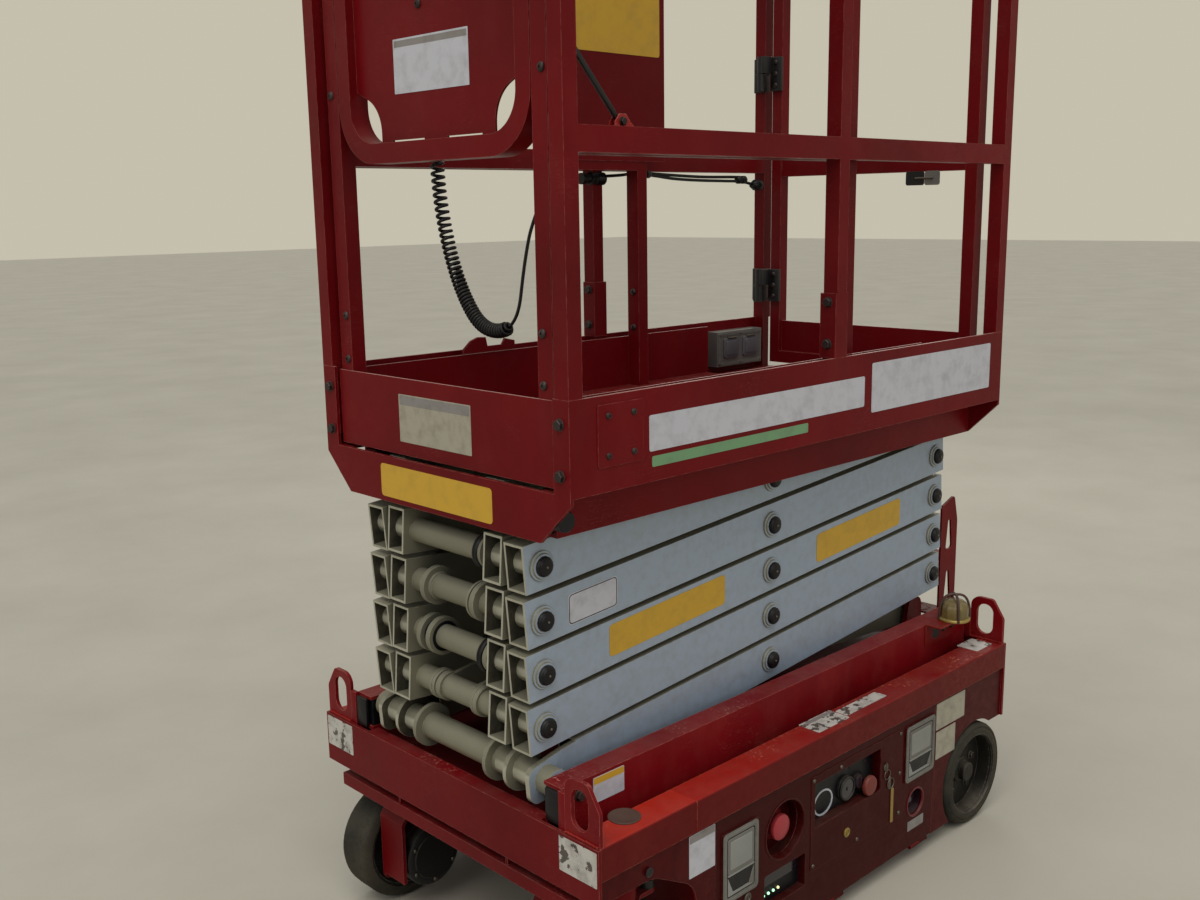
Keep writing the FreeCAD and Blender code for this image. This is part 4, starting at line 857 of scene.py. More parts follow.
def sticker(name, axis, outline, face, outward, used, body, band=None):
    # a thin plate on a face; band is (u0, u1, v0, v1, finish) of a second colour on it
    thick = chassisPlan["sticker"]
    bm = bmesh.new()
    low, high = sorted((face - 0.3 * outward, face + thick * outward))
    addPrism(bm, outline, axis, low, high)
    keys = [used]
    if band:
        u0, u1, v0, v1, second = band
        low, high = sorted((face, face + (thick + 0.2) * outward))
        addPrism(bm, roundedOutline(u0, u1, v0, v1, 1.0, 2), axis, low, high, 1)
        keys.append(second)
    return finishPiece(name, bm, keys, body)


def chassisStickers():
    c = chassisPlan
    for sign, word in ((1, "left"), (-1, "right")):
        u0, u1 = sorted((sign * 292, sign * 377))
        sticker("corner_sticker_" + word, "x", roundedOutline(u0, u1, 318, 377, 2), c["frontFace"], 1,
                "scuffed", "chassis")
    for name, axis, edges, face, used, band in c["stickers"]:
        sticker(name, axis, roundedOutline(*edges), c[face], 1, used, "chassis", band)


hoodPlan = {
    "cap": (520, 332), "endBolt": (575, 423), "plug": (513, 380, 301),
    # x0, x1, y0, y1, z0, z1, finish, rounding of the blocks on the rails' ends
    "railEnds": (
        (-619, -610.5, 284.5, 301, 380, 446, 0, 1.0), (610.5, 619, 284.5, 301, 380, 446, 0, 1.0),
        (610.8, 617.5, 252, 284, 385, 440, 1, 1.2),
    ),
}


def hoodCaps():
    # round caps on the hood, ends of the rails with a bolt, and a plug in each side
    h = hoodPlan
    for side, word in ((1, "left"), (-1, "right")):
        bm = bmesh.new()
        cap = [(27, -2), (27, 1.4), (25.6, 2.2), (23.5, 2.2), (22.5, 1.6), (0, 1.6)]
        addLathe(bm, cap, (h["cap"][0], side * h["cap"][1], chassisPlan["hoodTop"]), (0, 0, 1), 36)
        finishPiece("hood_cap_" + word, bm, ["brown"], "chassis")
        bm = bmesh.new()
        for x0, x1, y0, y1, *rest in h["railEnds"]:
            addBlock(bm, x0, x1, *sorted((side * y0, side * y1)), *rest)
        finishPiece("rail_ends_" + word, bm, ["railRed", "blackPlastic"], "chassis")
        spot = ((h["endBolt"][0], side * chassisPlan["railFace"], h["endBolt"][1]), (0, side, 0))
        copies("rail_end_bolt_" + word, smallParts["hexBolt"], [spot], "bolt", "chassis")
        bm = bmesh.new()
        x, y, z = h["plug"]
        addLathe(bm, [(8, -1), (8, 0.4), (6.6, 0.8), (6, 0.3), (0, 0.3)], (x, side * y, z), (0, side, 0), 24)
        finishPiece("panel_plug_" + word, bm, ["blackPaint"], "chassis")


def weldBeads():
    # a bead runs along each tie-down lug's foot
    maker = random.Random(11)
    bm = bmesh.new()
    for end in (1, -1):
        for side in (1, -1):
            route = []
            for k in range(27):
                y = side * (302 + 2.8 * k)
                route.append((end * (619 - 7.6), y, chassisPlan["hoodTop"] + 1.0 + maker.uniform(-0.4, 0.9)))
            addPipe(bm, route, 3.4, 8)
            route = [(end * 620.2, p[1], p[2] - 0.5 + maker.uniform(-0.3, 0.6)) for p in route]
            addPipe(bm, route, 2.6, 8)
    finishPiece("weld_beads", bm, ["redWornLit"], "chassis", 60)


chassisStickers()
hoodCaps()
weldBeads()
print("chassis dressed")


# The left door's latches, buttons and plates

# places are (forward, up); depths go in from the door's face
doorPlan = {
    "face": 376.0, "latchFace": 379.0, "outer": 381.0,
    "latches": (("front", 238, 332, 162, 292), ("rear", -340, -234, 185, 305)),
    "stop": (157, 237), "stopDeep": 34.0, "panelDeep": 20.0, "badge": (17, 231), "gauge": (-52, 236),
    "switch": (-91, 238), "push": (-112, 225), "key": (-163, 246), "coverLock": (-34, 157),
    "doorLock": (263, 148), "displayDeep": 18.0, "greenLamps": (198, 184, 170), "yellowLamps": (156,),
    "lampsUp": 116, "horn": (-279, 130), "hornDeep": 20.0,
}


def latch(name, x0, x1, z0, z1, side, body):
    p = doorPlan
    face, out = p["latchFace"], p["outer"]
    bm = bmesh.new()

    def plate(outline, low, high, key, rounding=0.4):
        addPrism(bm, outline, "y", *sorted((side * low, side * high)), key, rounding)

    outer = roundedOutline(x0, x1, z0, z1, 9, 6)
    inner = roundedOutline(x0 + 9, x1 - 9, z0 + 9, z1 - 9, 6, 6)
    addRing(bm, outer, inner, "y", *sorted((side * (face - 0.5), side * (face + 1.3))))
    # painted shade: a black plate in the frame's opening stands for the shade inside the latch's hollow
    plate(roundedOutline(x0 + 7, x1 - 7, z0 + 7, z1 - 7, 5), face - 0.5, face + 0.3, 1, 0)
    rim = roundedOutline(x0 + 3, x1 - 3, z0 + 3, z1 - 3, 8, 6)
    rimIn = roundedOutline(x0 + 6, x1 - 6, z0 + 6, z1 - 6, 7, 6)
    addRing(bm, rim, rimIn, "y", *sorted((side * (face + 1), side * out)))
    middle = z0 + 0.4 * (z1 - z0)
    plate(roundedOutline(x0 + 12, x1 - 12, middle, z1 - 12, 4), face - 0.4, out - 0.5, 0)
    plate(roundedOutline(x0 + 18, x1 - 18, middle + 8, z1 - 18, 3), out - 0.8, out, 2)
    plate(roundedOutline(x0 + 12, x1 - 12, middle - 3, middle, 1), face, out, 2)
    # facets of the finger hollow under the paddle: the left facet mid grey, the right facet and the ledge pale,
    # as painted shade and painted light
    foot = z0 + 12
    plate([(x0 + 12, middle - 5), (x0 + 26, foot + 4), (x0 + 12, foot)], face, face + 1.2, 0, 0.2)
    plate([(x1 - 12, middle - 5), (x1 - 26, foot + 4), (x1 - 12, foot)], face, face + 1.2, 2, 0.2)
    plate([(x0 + 14, foot), (x1 - 14, foot), (x1 - 27, foot + 5), (x0 + 27, foot + 5)], face, face + 1.2, 2, 0.2)
    piece = finishPiece(name, bm, ["cast", "blackPaint", "latchPadLit"], body)
    spots = [((x, side * (face - 0.2), z), (0, side, 0)) for x in (x0 + 7, x1 - 7) for z in (z0 + 7, z1 - 7)]
    copies(name + "_screws", smallParts["roundScrew"], spots, "zinc", body, 0.7, 6.0)
    return piece


for side, body in ((1, "door_left"), (-1, "door_right")):
    for word, x0, x1, z0, z1 in doorPlan["latches"]:
        latch("latch_%s_%s" % (word, body[5:]), x0, x1, z0, z1, side, body)


def stopButton():
    p = doorPlan
    x, z = p["stop"]
    place = (x, p["face"] - p["stopDeep"], z)
    bm = bmesh.new()
    profile = [(17, 0), (17, 13), (21, 15), (24, 18), (25, 22), (23.6, 26), (19, 28.6), (9, 29.6), (0, 29.8)]
    addLathe(bm, profile, place, (0, 1, 0), 36)
    addLathe(bm, [(30, 0.2), (30, 3), (28.5, 4), (18, 4)], place, (0, 1, 0), 36, 1)
    finishPiece("stop_button", bm, ["button", "redWornLit"], "door_left")
    bm = bmesh.new()
    bowl = [(57.4, 0), (57.4, 1.2), (56.4, 1.8), (54.2, 1.2), (53.4, -1), (53, -10), (52.8, -14), (57.4, 0)]
    addLathe(bm, bowl, (x, p["face"] - 0.3, z), (0, 1, 0), 48)
    finishPiece("stop_recess_lip", bm, ["doorShadedRed"], "door_left")


def controlPanel():
    p = doorPlan
    floor = p["face"] - p["panelDeep"]
    bm = bmesh.new()
    addPrism(bm, roundedOutline(-145, 67, 206, 290, 4), "y", floor - 4, floor + 1.0, 0)
    # bare oval badge with a raised white rim
    x, z = p["badge"]
    addRing(bm, circleOutline(x, z, 30, 26), circleOutline(x, z, 26.4, 22.4), "y", floor, floor + 2.4, 1)
    # round gauge: a ribbed bezel, glass and a hub
    x, z = p["gauge"]
    bezel = [(24.6, 0), (24.6, 4), (23.4, 5), (24.4, 6), (24.4, 9), (22.6, 11), (20.4, 11), (19.6, 8.6),
             (0, 8.6)]
    addLathe(bm, bezel, (x, floor, z), (0, 1, 0), 40, 2)
    addLathe(bm, [(19, 8.4), (19, 9.2), (4, 9.4), (3.6, 11), (0, 11.2)], (x, floor, z), (0, 1, 0), 36, 3)
    # rotary switch
    knob = [(14.4, 0), (14.4, 5), (12.8, 6), (13.8, 8), (13, 11.4), (0, 12)]
    x, z = p["switch"]
    addLathe(bm, knob, (x, floor, z), (0, 1, 0), 14, 4)
    addBlock(bm, x - 2, x + 2, floor + 11.5, floor + 14, z - 10, z + 10, 4, 0.8)
    for x, z in ((-138, 283), (-30, 284), (60, 283), (-120, 268), (-70, 272)):
        addLathe(bm, [(3.4, 0.8), (3.4, 2), (2.4, 2.6), (0, 2.6)], (x, floor, z), (0, 1, 0), 14, 4)
    used = ["blackPlastic", "white", "blackPaint", "screen", "hornPlastic"]
    finishPiece("control_panel", bm, used, "door_left")
    bm = bmesh.new()
    push = [(9, 0), (9, 11), (17, 13), (20, 16), (20.4, 20), (18.6, 23.4), (10, 24.6), (0, 24.8)]
    addLathe(bm, push, (p["push"][0], floor, p["push"][1]), (0, 1, 0), 32)
    finishPiece("panel_button", bm, ["panelButton"], "door_left")


def keyAndTag():
    p = doorPlan
    face = p["face"] + 1.2
    bm = bmesh.new()
    x, z = p["key"]
    addLathe(bm, [(7.5, -1), (7.5, 1.6), (6.4, 2.4), (0, 2.4)], (x, face, z), (0, 1, 0), 20)
    addBlock(bm, x - 2, x + 1.5, face + 1, face + 3.4, z - 10, z + 10, 0, 0.6)
    # two wire rings, a short tag and a long brass one
    for centre, radius in (((-168, face + 1.8, 229), 10), ((-181, face + 1.6, 206), 11)):
        addPipe(bm, arcRoute(centre, radius, 0, 360, "y", 24)[:-1], 0.9, 6, 0, True)
    addPrism(bm, roundedOutline(-181, -173, 196, 222, 3), "y", face + 0.4, face + 2.0, 0, 0.3)
    addPrism(bm, roundedOutline(-192, -183, 120, 194, 2.5), "y", face + 0.6, face + 2.2, 1, 0.3)
    finishPiece("key_and_tag", bm, ["zinc", "brass"], "door_left")
    bm = bmesh.new()
    lock = [(9.4, -1), (9.4, 1.8), (8, 2.8), (5.4, 2.8), (5, 1.6), (0, 1.6)]
    x, z = p["coverLock"]
    addLathe(bm, lock, (x, face, z), (0, 1, 0), 24)
    addBlock(bm, x - 2, x + 2, face + 1.4, face + 2.6, z - 7, z + 7, 0, 0.5)
    finishPiece("cover_lock", bm, ["brass"], "door_left")
    bm = bmesh.new()
    x, z = p["doorLock"]
    addLathe(bm, lock, (x, p["face"], z), (0, 1, 0), 24)
    addBlock(bm, x - 1.5, x + 1.5, p["face"] + 1.2, p["face"] + 2.4, z - 6, z + 6, 0, 0.4)
    finishPiece("door_lock", bm, ["zinc"], "door_left")


def doorDisplay():
    p = doorPlan
    floor = p["face"] - p["displayDeep"]
    bm = bmesh.new()
    addPrism(bm, roundedOutline(96, 214, 101, 165, 3), "y", floor - 4, floor + 2, 0)
    addPrism(bm, roundedOutline(102, 208, 132, 159, 3), "y", floor + 1, floor + 3, 1)
    finishPiece("door_display", bm, ["blackPlastic", "screen"], "door_left")
    lamp = [(2.6, 0), (2.6, 2.2), (1.6, 3.2), (0, 3.5)]
    for name, key in (("green_lamps", "greenLamp"), ("yellow_lamp", "yellowLamp")):
        bm = bmesh.new()
        for x in p[key + "s"]:
            addLathe(bm, lamp, (x, floor + 1.8, p["lampsUp"]), (0, 1, 0), 14)
        finishPiece(name, bm, [key], "door_left")


def horn(side, body):
    p = doorPlan
    place = (p["horn"][0], side * (p["face"] - p["hornDeep"]), p["horn"][1])
    bm = bmesh.new()
    cone = [(27.6, 14), (27, 0), (24, 2), (18, 0.6), (12, 2.6), (7.4, 3.4), (7.4, 6)]
    addLathe(bm, cone, place, (0, side, 0), 36, 0)
    addLathe(bm, [(7.4, 4), (7, 7), (4.6, 8.6), (0, 9.2)], place, (0, side, 0), 20, 1)
    lip = [(28.2, 18), (31.6, 19.4), (31.8, 21), (30.2, 22), (28.4, 21.4), (27.6, 18), (28.2, 18)]
    addLathe(bm, lip, place, (0, side, 0), 40, 2)
    finishPiece("horn_" + body[5:], bm, ["hornPlastic", "greyPlastic", "hornRim"], body)


def coverPlate():
    # the thin screwed plate round the control panel
    p = doorPlan
    bm = bmesh.new()
    outer = roundedOutline(-223, 80, 120, 308, 3, 5)
    inner = roundedOutline(-147, 69, 203, 292, 3, 5)
    addRing(bm, outer, inner, "y", p["face"] - 0.2, p["face"] + 1.2)
    finishPiece("control_cover", bm, ["doorShadedRed"], "door_left")
    spots = []
    for x, z in ((73, 300), (-12, 299), (-215, 300), (-215, 216), (73, 130), (-69, 129), (-215, 130)):
        spots.append(((x, p["face"] + 1.0, z), (0, 1, 0)))
    copies("control_cover_screws", smallParts["roundScrew"], spots, "zinc", "door_left", 0.8, 6.0)


stopButton()
controlPanel()
keyAndTag()
doorDisplay()
horn(1, "door_left")
horn(-1, "door_right")
coverPlate()
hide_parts("door_controls")
sticker("horn_sticker", "y", roundedOutline(-312, -253, 72, 93, 1), doorPlan["face"], 1, "greyLabel",
        "door_left")
print("doors dressed")


# Platform: plates, bolts, treads and the hanging lead

platformPlan = {
    "front": 619.0, "side": 328.0, "deck": 942.0, "extensionFloor": 951.0, "extensionFront": 611.0,
    "hoopSheet": 591.0, "sidePanel": -248.0, "treadStep": 30.0,
}


def platformStickers():
    p = platformPlan
    sticker("front_sticker", "x", roundedOutline(-107, 89, 950, 1032, 2), p["extensionFront"], 1, "cream",
            "extension", (-104, 86, 1014, 1030, "greyLabel"))
    sticker("lower_sticker", "x", roundedOutline(-159, 146, 849, 907, 7), p["front"], 1, "yellow", "platform")
    for side, word in ((1, "left"), (-1, "right")):
        for name, edges, used in (("plate", (-592, -152, 950, 1044, 4), "white"),
                                  ("band", (-128, 452, 965, 1022, 4), "white"),
                                  ("strip", (45, 446, 940, 957, 3), "green")):
            sticker("skirt_%s_%s" % (name, word), "y", roundedOutline(*edges), side * p["side"], side, used,
                    "platform")
    sticker("hoop_sticker", "x", roundedOutline(-105, 90, 1522, 1607, 1), p["hoopSheet"], 1, "white", "extension",
            (-102, 87, 1594, 1604, "greyLabel"))
    sticker("side_panel_sticker", "y", roundedOutline(-190, 60, 1647, 1800, 6), p["sidePanel"], 1, "yellow",
            "extension")


def coverPlates():
    p = platformPlan
    bm = bmesh.new()
    addPrism(bm, roundedOutline(466, 563, 955, 1051, 4), "y", p["side"] - 0.3, p["side"] + 1.8, 0, 0.4)
    finishPiece("skirt_cover", bm, ["red"], "platform")
    spots = [((x, p["side"] + 1.6, z), (0, 1, 0)) for x in (487, 541) for z in (972, 1033)]
    copies("skirt_cover_screws", smallParts["roundScrew"], spots, "bolt", "platform", 1.1, 6.0)
    bm = bmesh.new()
    addPrism(bm, roundedOutline(-427, -321, 948, 1036, 4), "y", -322.3, -320.2, 0, 0.4)
    finishPiece("far_cover", bm, ["red"], "platform")
    spots = [((x, -320.5, z), (0, 1, 0)) for x in (-343, -402) for z in (968, 1016)]
    copies("far_cover_screws", smallParts["roundScrew"], spots, "bolt", "platform", 1.1, 6.0)


def platformBolts():
    p = platformPlan
    spots = []
    for side in (1, -1):
        for z in (1027, 950):
            spots.append(((p["front"] - 0.5, side * 308, z), (1, 0, 0)))
        for z in (1164, 1089):
            spots.append(((-32.4, side * 311, z), (1, 0, 0)))
    copies("platform_bolts", smallParts["hexBolt"], spots, "bolt", "platform", 0.95, 1.0)
    spots = []
    for side in (1, -1):
        for z in (1156, 1079):
            spots.append(((606.5, side * 262, z), (1, 0, 0)))
            spots.append(((-123.4, side * 266, z), (1, 0, 0)))
        spots.append(((606.5, side * 272, 1531), (1, 0, 0)))
    spots.append(((590.6, -33, 1654), (1, 0, 0)))
    copies("extension_bolts", smallParts["roundScrew"], spots, "bolt", "extension", 1.5, 1.0)


def treads():
    p = platformPlan
    step = p["treadStep"]

    def field(x0, x1, y0, y1, z):
        spots = []
        countX = int((x1 - x0) / step)
        countY = int((y1 - y0) / step)
        for i in range(countX + 1):
            for j in range(countY + 1):
                x = (x0 + x1) / 2 + (i - countX / 2) * step
                y = (y0 + y1) / 2 + (j - countY / 2) * step
                spots.append(((x, y, z), (0, 0, 1), 45 if (i + j) % 2 else -45))
        return spots

    steps = [spot for z in (262, 399, 536) for spot in field(-700, -642, -180, 180, z)]
    copies("ladder_tread", smallParts["treadBar"], steps, "redWornLit", "chassis", 1.4)
    rear = field(-600, -400, -290, 290, p["deck"])
    copies("deck_tread", smallParts["treadBar"], rear, "red", "platform", 1.4)
    front = field(-375, 590, -265, 265, p["extensionFloor"])
    copies("extension_tread", smallParts["treadBar"], front, "red", "extension", 1.4)


def channelEnds():
    # black rounded blocks on the slide channels' ends, under the skirt's front corners
    bm = bmesh.new()
    for side in (1, -1):
        profile = [(0, 0), (15, 0), (16.5, 2), (16.5, 36), (15, 38), (0, 38)]
        addLathe(bm, profile, (600, side * 262, 876), (0, side, 0), 28)
        addBlock(bm, 584, 612, *sorted((side * 259, side * 286)), 866, 892, 0, 2.0)
    finishPiece("channel_bumpers", bm, ["blackPlastic"], "platform")


def hinges():
    # black blocks over the leaves, three bolts a side
    sides = (("platform", -613.8, -605, -325.6, -284.4), ("gate", -608.2, -599, -271.6, -240.4))
    for word, x0, x1, y0, y1 in sides:
        bm = bmesh.new()
        spots = []
        for z in (1145, 1640):
            addBlock(bm, x0, x1, y0, y1, z - 39, z + 39, 0, 1.6)
            for dz in (-26, 0, 26):
                spots.append(((x1 - 0.4, (y0 + y1) / 2, z + dz), (1, 0, 0)))
        for z in (1145, 1640):
            low, high = (z - 39.2, z - 0.8) if word == "platform" else (z + 0.8, z + 39.2)
            arm = (-292, -284) if word == "platform" else (-278, -264)
            addBlock(bm, -614, -567, *arm, low, high, 0, 1.0)
            addLathe(bm, [(0, low), (8, low), (8, high), (0, high)], (-572, -279, 0), (0, 0, 1), 24)
        finishPiece("hinge_blocks_" + word, bm, ["blackPaint"], word)
        copies("hinge_bolts_" + word, smallParts["roundScrew"], spots, "bolt", word, 1.2, 6.0)


def gateLatch():
    # a slot in the gate's middle rail, with the latch behind half of it; the open half is a black plate, painted
    # shade
    bm = bmesh.new()
    addPrism(bm, roundedOutline(100, 146, 1374, 1404, 5), "x", -608.4, -607.2, 0, 0.3)
    addPrism(bm, roundedOutline(146.5, 184, 1374, 1404, 5), "x", -608.4, -607.4, 1, 0.3)
    rod = [(-608.5, 124, 1389), (-606.6, 125, 1389), (-606.4, 130, 1389), (-606.4, 168, 1389)]
    addPipe(bm, rod, 2.4, 12, 2)
    finishPiece("gate_latch", bm, ["blackPaint", "cast", "zinc"], "gate")


railLeads = {
    "high": ((-72, 1402), (-128, 1405), (-165, 1409), (-210, 1409), (-382, 1403), (-520, 1403), (-548, 1398)),
    "low": ((-188, 1408), (-235, 1404), (-300, 1398), (-382, 1395), (-470, 1394), (-530, 1393), (-575, 1387)),
    "radius": 3.4, "left": -304.0,
}


def smoothRoute(points, steps=8):
    # a soft curve through the points
    line = [Vector(p) for p in points]
    line = [2 * line[0] - line[1]] + line + [2 * line[-1] - line[-2]]
    route = []
    for k in range(1, len(line) - 2):
        a, b, c, d = line[k - 1:k + 3]
        for i in range(steps):
            t = i / steps
            route.append(0.5 * (2 * b + (c - a) * t + (2 * a - 5 * b + 4 * c - d) * t * t
                                + (3 * b - a - 3 * c + d) * t ** 3))
    return route + [line[-2]]


def hangingLead():
    # two black leads under the far middle rail, with bellows and plugs
    plan = railLeads
    y = plan["left"]
    bm = bmesh.new()
    for key in ("high", "low"):
        addPipe(bm, smoothRoute([(x, y, z) for x, z in plan[key]]), plan["radius"], 10)
    hook = [(-176, y, 1408), (-172, y + 14, 1420), (-174, y + 24, 1438), (-170, y + 28, 1449)]
    addPipe(bm, smoothRoute(hook), 2.2, 8)
    for x, z in ((-200, 1408), (-532, 1397)):
        profile = [(0, -18), (6, -18), (9.5, -13), (9.5, -3), (7, -1), (7, 3), (9.5, 5), (9.5, 13), (5, 18),
                   (0, 18)]
        addLathe(bm, profile, (x, y, z), (1, 0, 0), 18)
    profile = [(0, -16), (12, -16), (13, -14), (13, 4), (10, 8), (7, 16), (0, 17)]
    addLathe(bm, profile, (-588, y, 1385), (1, 0, 0), 20)
    bellows = [(0, -34), (7, -34)]
    for k in range(7):
        grown = 11 + 5 * math.sin(math.pi * min(1.0, (k + 1) / 6))
        bellows += [(grown - 3.4, -32 + 8.6 * k), (grown, -29.5 + 8.6 * k), (grown, -27 + 8.6 * k)]
    bellows += [(12, 30), (12, 35), (0, 35)]
    addLathe(bm, bellows, (-42, y, 1397), (1, 0, 0), 22)
    finishPiece("rail_leads", bm, ["blackPlastic"], "platform", 50)


def brace():
    # a dark bar up to the hoop from a small bracket on the near middle rail
    foot, head = Vector((446, 266, 1460)), Vector((583, 266, 1612))
    along = (head - foot).normalized()
    across = Vector((0, 1, 0))
    third = along.cross(across)
    bm = bmesh.new()
    corners = []
    for end in (foot, head):
        for u, v in ((-3, -4), (3, -4), (3, 4), (-3, 4)):
            corners.append(end + across * u + third * v)
    faces = [(0, 1, 2, 3), (4, 5, 6, 7), (0, 1, 5, 4), (1, 2, 6, 5), (2, 3, 7, 6), (3, 0, 4, 7)]
    addSolid(bm, corners, faces, 0, 1.2)
    finishPiece("brace", bm, ["blackPaint"], "extension")
    bm = bmesh.new()
    plate = [(418, 1450.5), (462, 1450.5), (462, 1462), (452, 1474), (438, 1474), (428, 1462), (418, 1454)]
    for y in (259, 270.5):
        addPrism(bm, plate, "y", y - 1.2, y + 1.2, 0, 0.3)
    addBlock(bm, 412, 466, 256, 274, 1450.5, 1453.5, 0, 0.6)
    finishPiece("brace_bracket", bm, ["orangeRed"], "extension")
    copies("brace_bolt", smallParts["hexBolt"], [((446, 271.5, 1463), (0, 1, 0))], "bolt", "extension", 0.7)


def extensionCatch():
    # a small bent plate on the far toe board
    bm = bmesh.new()
    body = [(206, 1060), (337, 1060), (337, 1069), (318, 1085), (300, 1091), (280, 1090), (276, 1072),
            (240, 1072), (232, 1084), (206, 1078)]
    addPrism(bm, body, "y", -284, -279, 0, 0.8)
    finishPiece("extension_catch", bm, ["red"], "extension")


def outletBox():
    # two flap covers, a frame and screws on the outlet box's inner face
    face = -288.0
    bm = bmesh.new()
    outer, inner = roundedOutline(-592, -433, 961, 1038, 6), roundedOutline(-586, -439, 967, 1032, 4)
    addRing(bm, outer, inner, "y", face - 0.3, face + 2.0, 0)
    for x in (-548, -478):
        addPrism(bm, roundedOutline(x - 27, x + 27, 977, 1026, 7), "y", face - 0.4, face + 4.5, 1, 1.2, 2)
        addPrism(bm, roundedOutline(x - 20, x + 20, 984, 1019, 6), "y", face + 4, face + 6.5, 1, 0.8, 2)
        addPipe(bm, [(x - 16, face + 5, 1026), (x + 16, face + 5, 1026)], 2.6, 10, 2)
    finishPiece("outlet_covers", bm, ["cast", "greyPlastic", "zinc"], "platform")
    spots = [((x, face + 1.8, z), (0, 1, 0)) for x in (-588.5, -513, -436.5) for z in (964.5, 1034.5)]
    copies("outlet_screws", smallParts["roundScrew"], spots, "zinc", "platform", 0.6, 6.0)


platformStickers()
coverPlates()
platformBolts()
treads()
channelEnds()
hinges()
gateLatch()
hangingLead()
brace()
extensionCatch()
outletBox()
print("platform dressed")


# Control box on the hoop

controlPlan = {"x": (467, 587), "y": (-150, 20), "z": (1700, 1880), "stick": (547, -65)}


def controlBox():
    x0, x1, y0, y1, z0, z1 = controlPlan["x"] + controlPlan["y"] + controlPlan["z"]
    stickX, stickY = controlPlan["stick"]
    bm = bmesh.new()
    outline = [(x1, z0), (x1, z1), (x0 + 62, z1), (x0, z1 - 58), (x0, z0)]
    addPrism(bm, outline, "y", y0, y1, 0, 9.0, 3)
    # a rubber boot under the stick
    boot = [(30, -2), (30, 2), (26, 6), (27, 9), (21, 13), (22, 16), (15, 21), (13, 26), (9, 30), (9, -2),
            (30, -2)]
    addLathe(bm, boot, (stickX, stickY, z1 - 2), (0, 0, 1), 32, 1)
    grip = [(8, 18), (8, 32), (13, 36), (16, 45), (17, 60), (15.5, 74), (10, 81), (0, 83)]
    addLathe(bm, grip, (stickX, stickY, z1 - 2), (0, 0, 1), 28, 1)
    # guard ribs beside the stick
    for y in (y0 + 14, y1 - 14):
        hoop = [(stickX + 30, y, z1 - 4), (stickX + 30, y, z1 + 30), (stickX, y, z1 + 38),
                (stickX - 30, y, z1 + 30), (stickX - 34, y, z1 - 4)]
        addPipe(bm, smoothRoute(hoop), 5, 12, 1)
    addPrism(bm, roundedOutline(y0 + 22, y0 + 96, 1742, 1806, 4), "x", x0 - 1.2, x0 + 1, 2, 0.4)
    piece = finishPiece("control_case", bm, ["blackPlastic", "blackPaint", "screen"], "extension", 40)
    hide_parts("control_box")
    sticker("control_sticker", "x", roundedOutline(y0 + 100, y1 - 8, 1712, 1736, 3), x0, -1, "yellow",
            "extension")
    bm = bmesh.new()
    push = [(13, 0), (13, 5), (19, 8), (21, 11), (21, 15), (18, 18), (9, 19.4), (0, 19.6)]
    addLathe(bm, push, (x0, y1 - 38, 1775), (-1, 0, 0), 32)
    finishPiece("control_stop", bm, ["button"], "extension")
    spots = [((x0 - 0.2, y, z), (-1, 0, 0)) for y in (y0 + 12, y1 - 12) for z in (z0 + 12, z1 - 72)]
    copies("control_screws", smallParts["roundScrew"], spots, "zinc", "extension", 0.8, 6.0)


controlBox()
print("control box made")


# Beacon on the rear left corner

beaconPlan = {
    "x": -516.0, "y": 314.0, "z": 448.0, "railFace": 286.0, "guardHalf": 33.0, "guardHigh": 56.0, "rod": 2.8,
}


def beaconLamp():
    p = beaconPlan
    centre = (p["x"], p["y"], p["z"])
    bm = bmesh.new()
    base = [(0, 0.2), (32, 0.2), (33.4, 1.6), (33.4, 5), (32, 6.4), (28, 7), (0, 7)]
    addLathe(bm, base, centre, (0, 0, 1), 44, 1)
    dome = [(28.4, 5), (29.6, 9), (29.6, 25), (28.2, 33), (24, 40), (17, 44.6), (11, 46.4), (0, 47)]
    addLathe(bm, dome, centre, (0, 0, 1), 12, 0)
    for turn in (45, 135):
        a = math.radians(turn)
        route = []
        for k in range(21):
            b = math.pi * k / 20
            out = p["guardHalf"] * math.copysign(abs(math.cos(b)) ** 0.6, math.cos(b))
            high = p["guardHigh"] * math.sin(b) ** 0.8
            route.append((p["x"] + out * math.cos(a), p["y"] + out * math.sin(a), p["z"] + 1 + high))
        addPipe(bm, route, p["rod"], 10, 2)
    face = p["railFace"]
    addBlock(bm, -546, -444, face + 0.1, face + 38, p["z"] - 3.4, p["z"], 3, 0.8)
    addBlock(bm, -546, -444, face, face + 3, p["z"] - 49, p["z"] - 1, 3, 0.8)
    # painted shade: a thin black plate stands for the bracket's slot
    addPrism(bm, roundedOutline(-498, -472, 408, 438, 8), "y", face + 2.5, face + 3.3, 4)
    used = ["beacon", "brass", "brown", "redWornLit", "blackPaint"]
    piece = finishPiece("beacon_lamp", bm, used, "chassis", 22)
    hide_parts("beacon")
    # two bolts hold its bracket to the rail
    spots = [((x, face + 2.8, 424), (0, 1, 0)) for x in (-545, -512)]
    copies("beacon_bolts", smallParts["hexBolt"], spots, "bolt", "chassis", 0.75, 6.0)


beaconLamp()
print("beacon made")


# Curly cord from the control box to the extension's post

cordPlan = {
    "route": (
        (0.5875, -0.075, 1.701), (0.5875, -0.066, 1.414), (0.5875, -0.050, 1.304), (0.5875, -0.012, 1.206),
        (0.5875, 0.045, 1.140), (0.5875, 0.130, 1.150), (0.5875, 0.152, 1.258), (0.5875, 0.176, 1.327),
        (0.5875, 0.2495, 1.430),
    ),
    "wire": 0.0027, "coil": 0.0097, "straightStart": 0.05, "coilEnd": 0.655, "pitchTop": 0.0115,
    "pitchLow": 0.0062, "perTurn": 16,
}


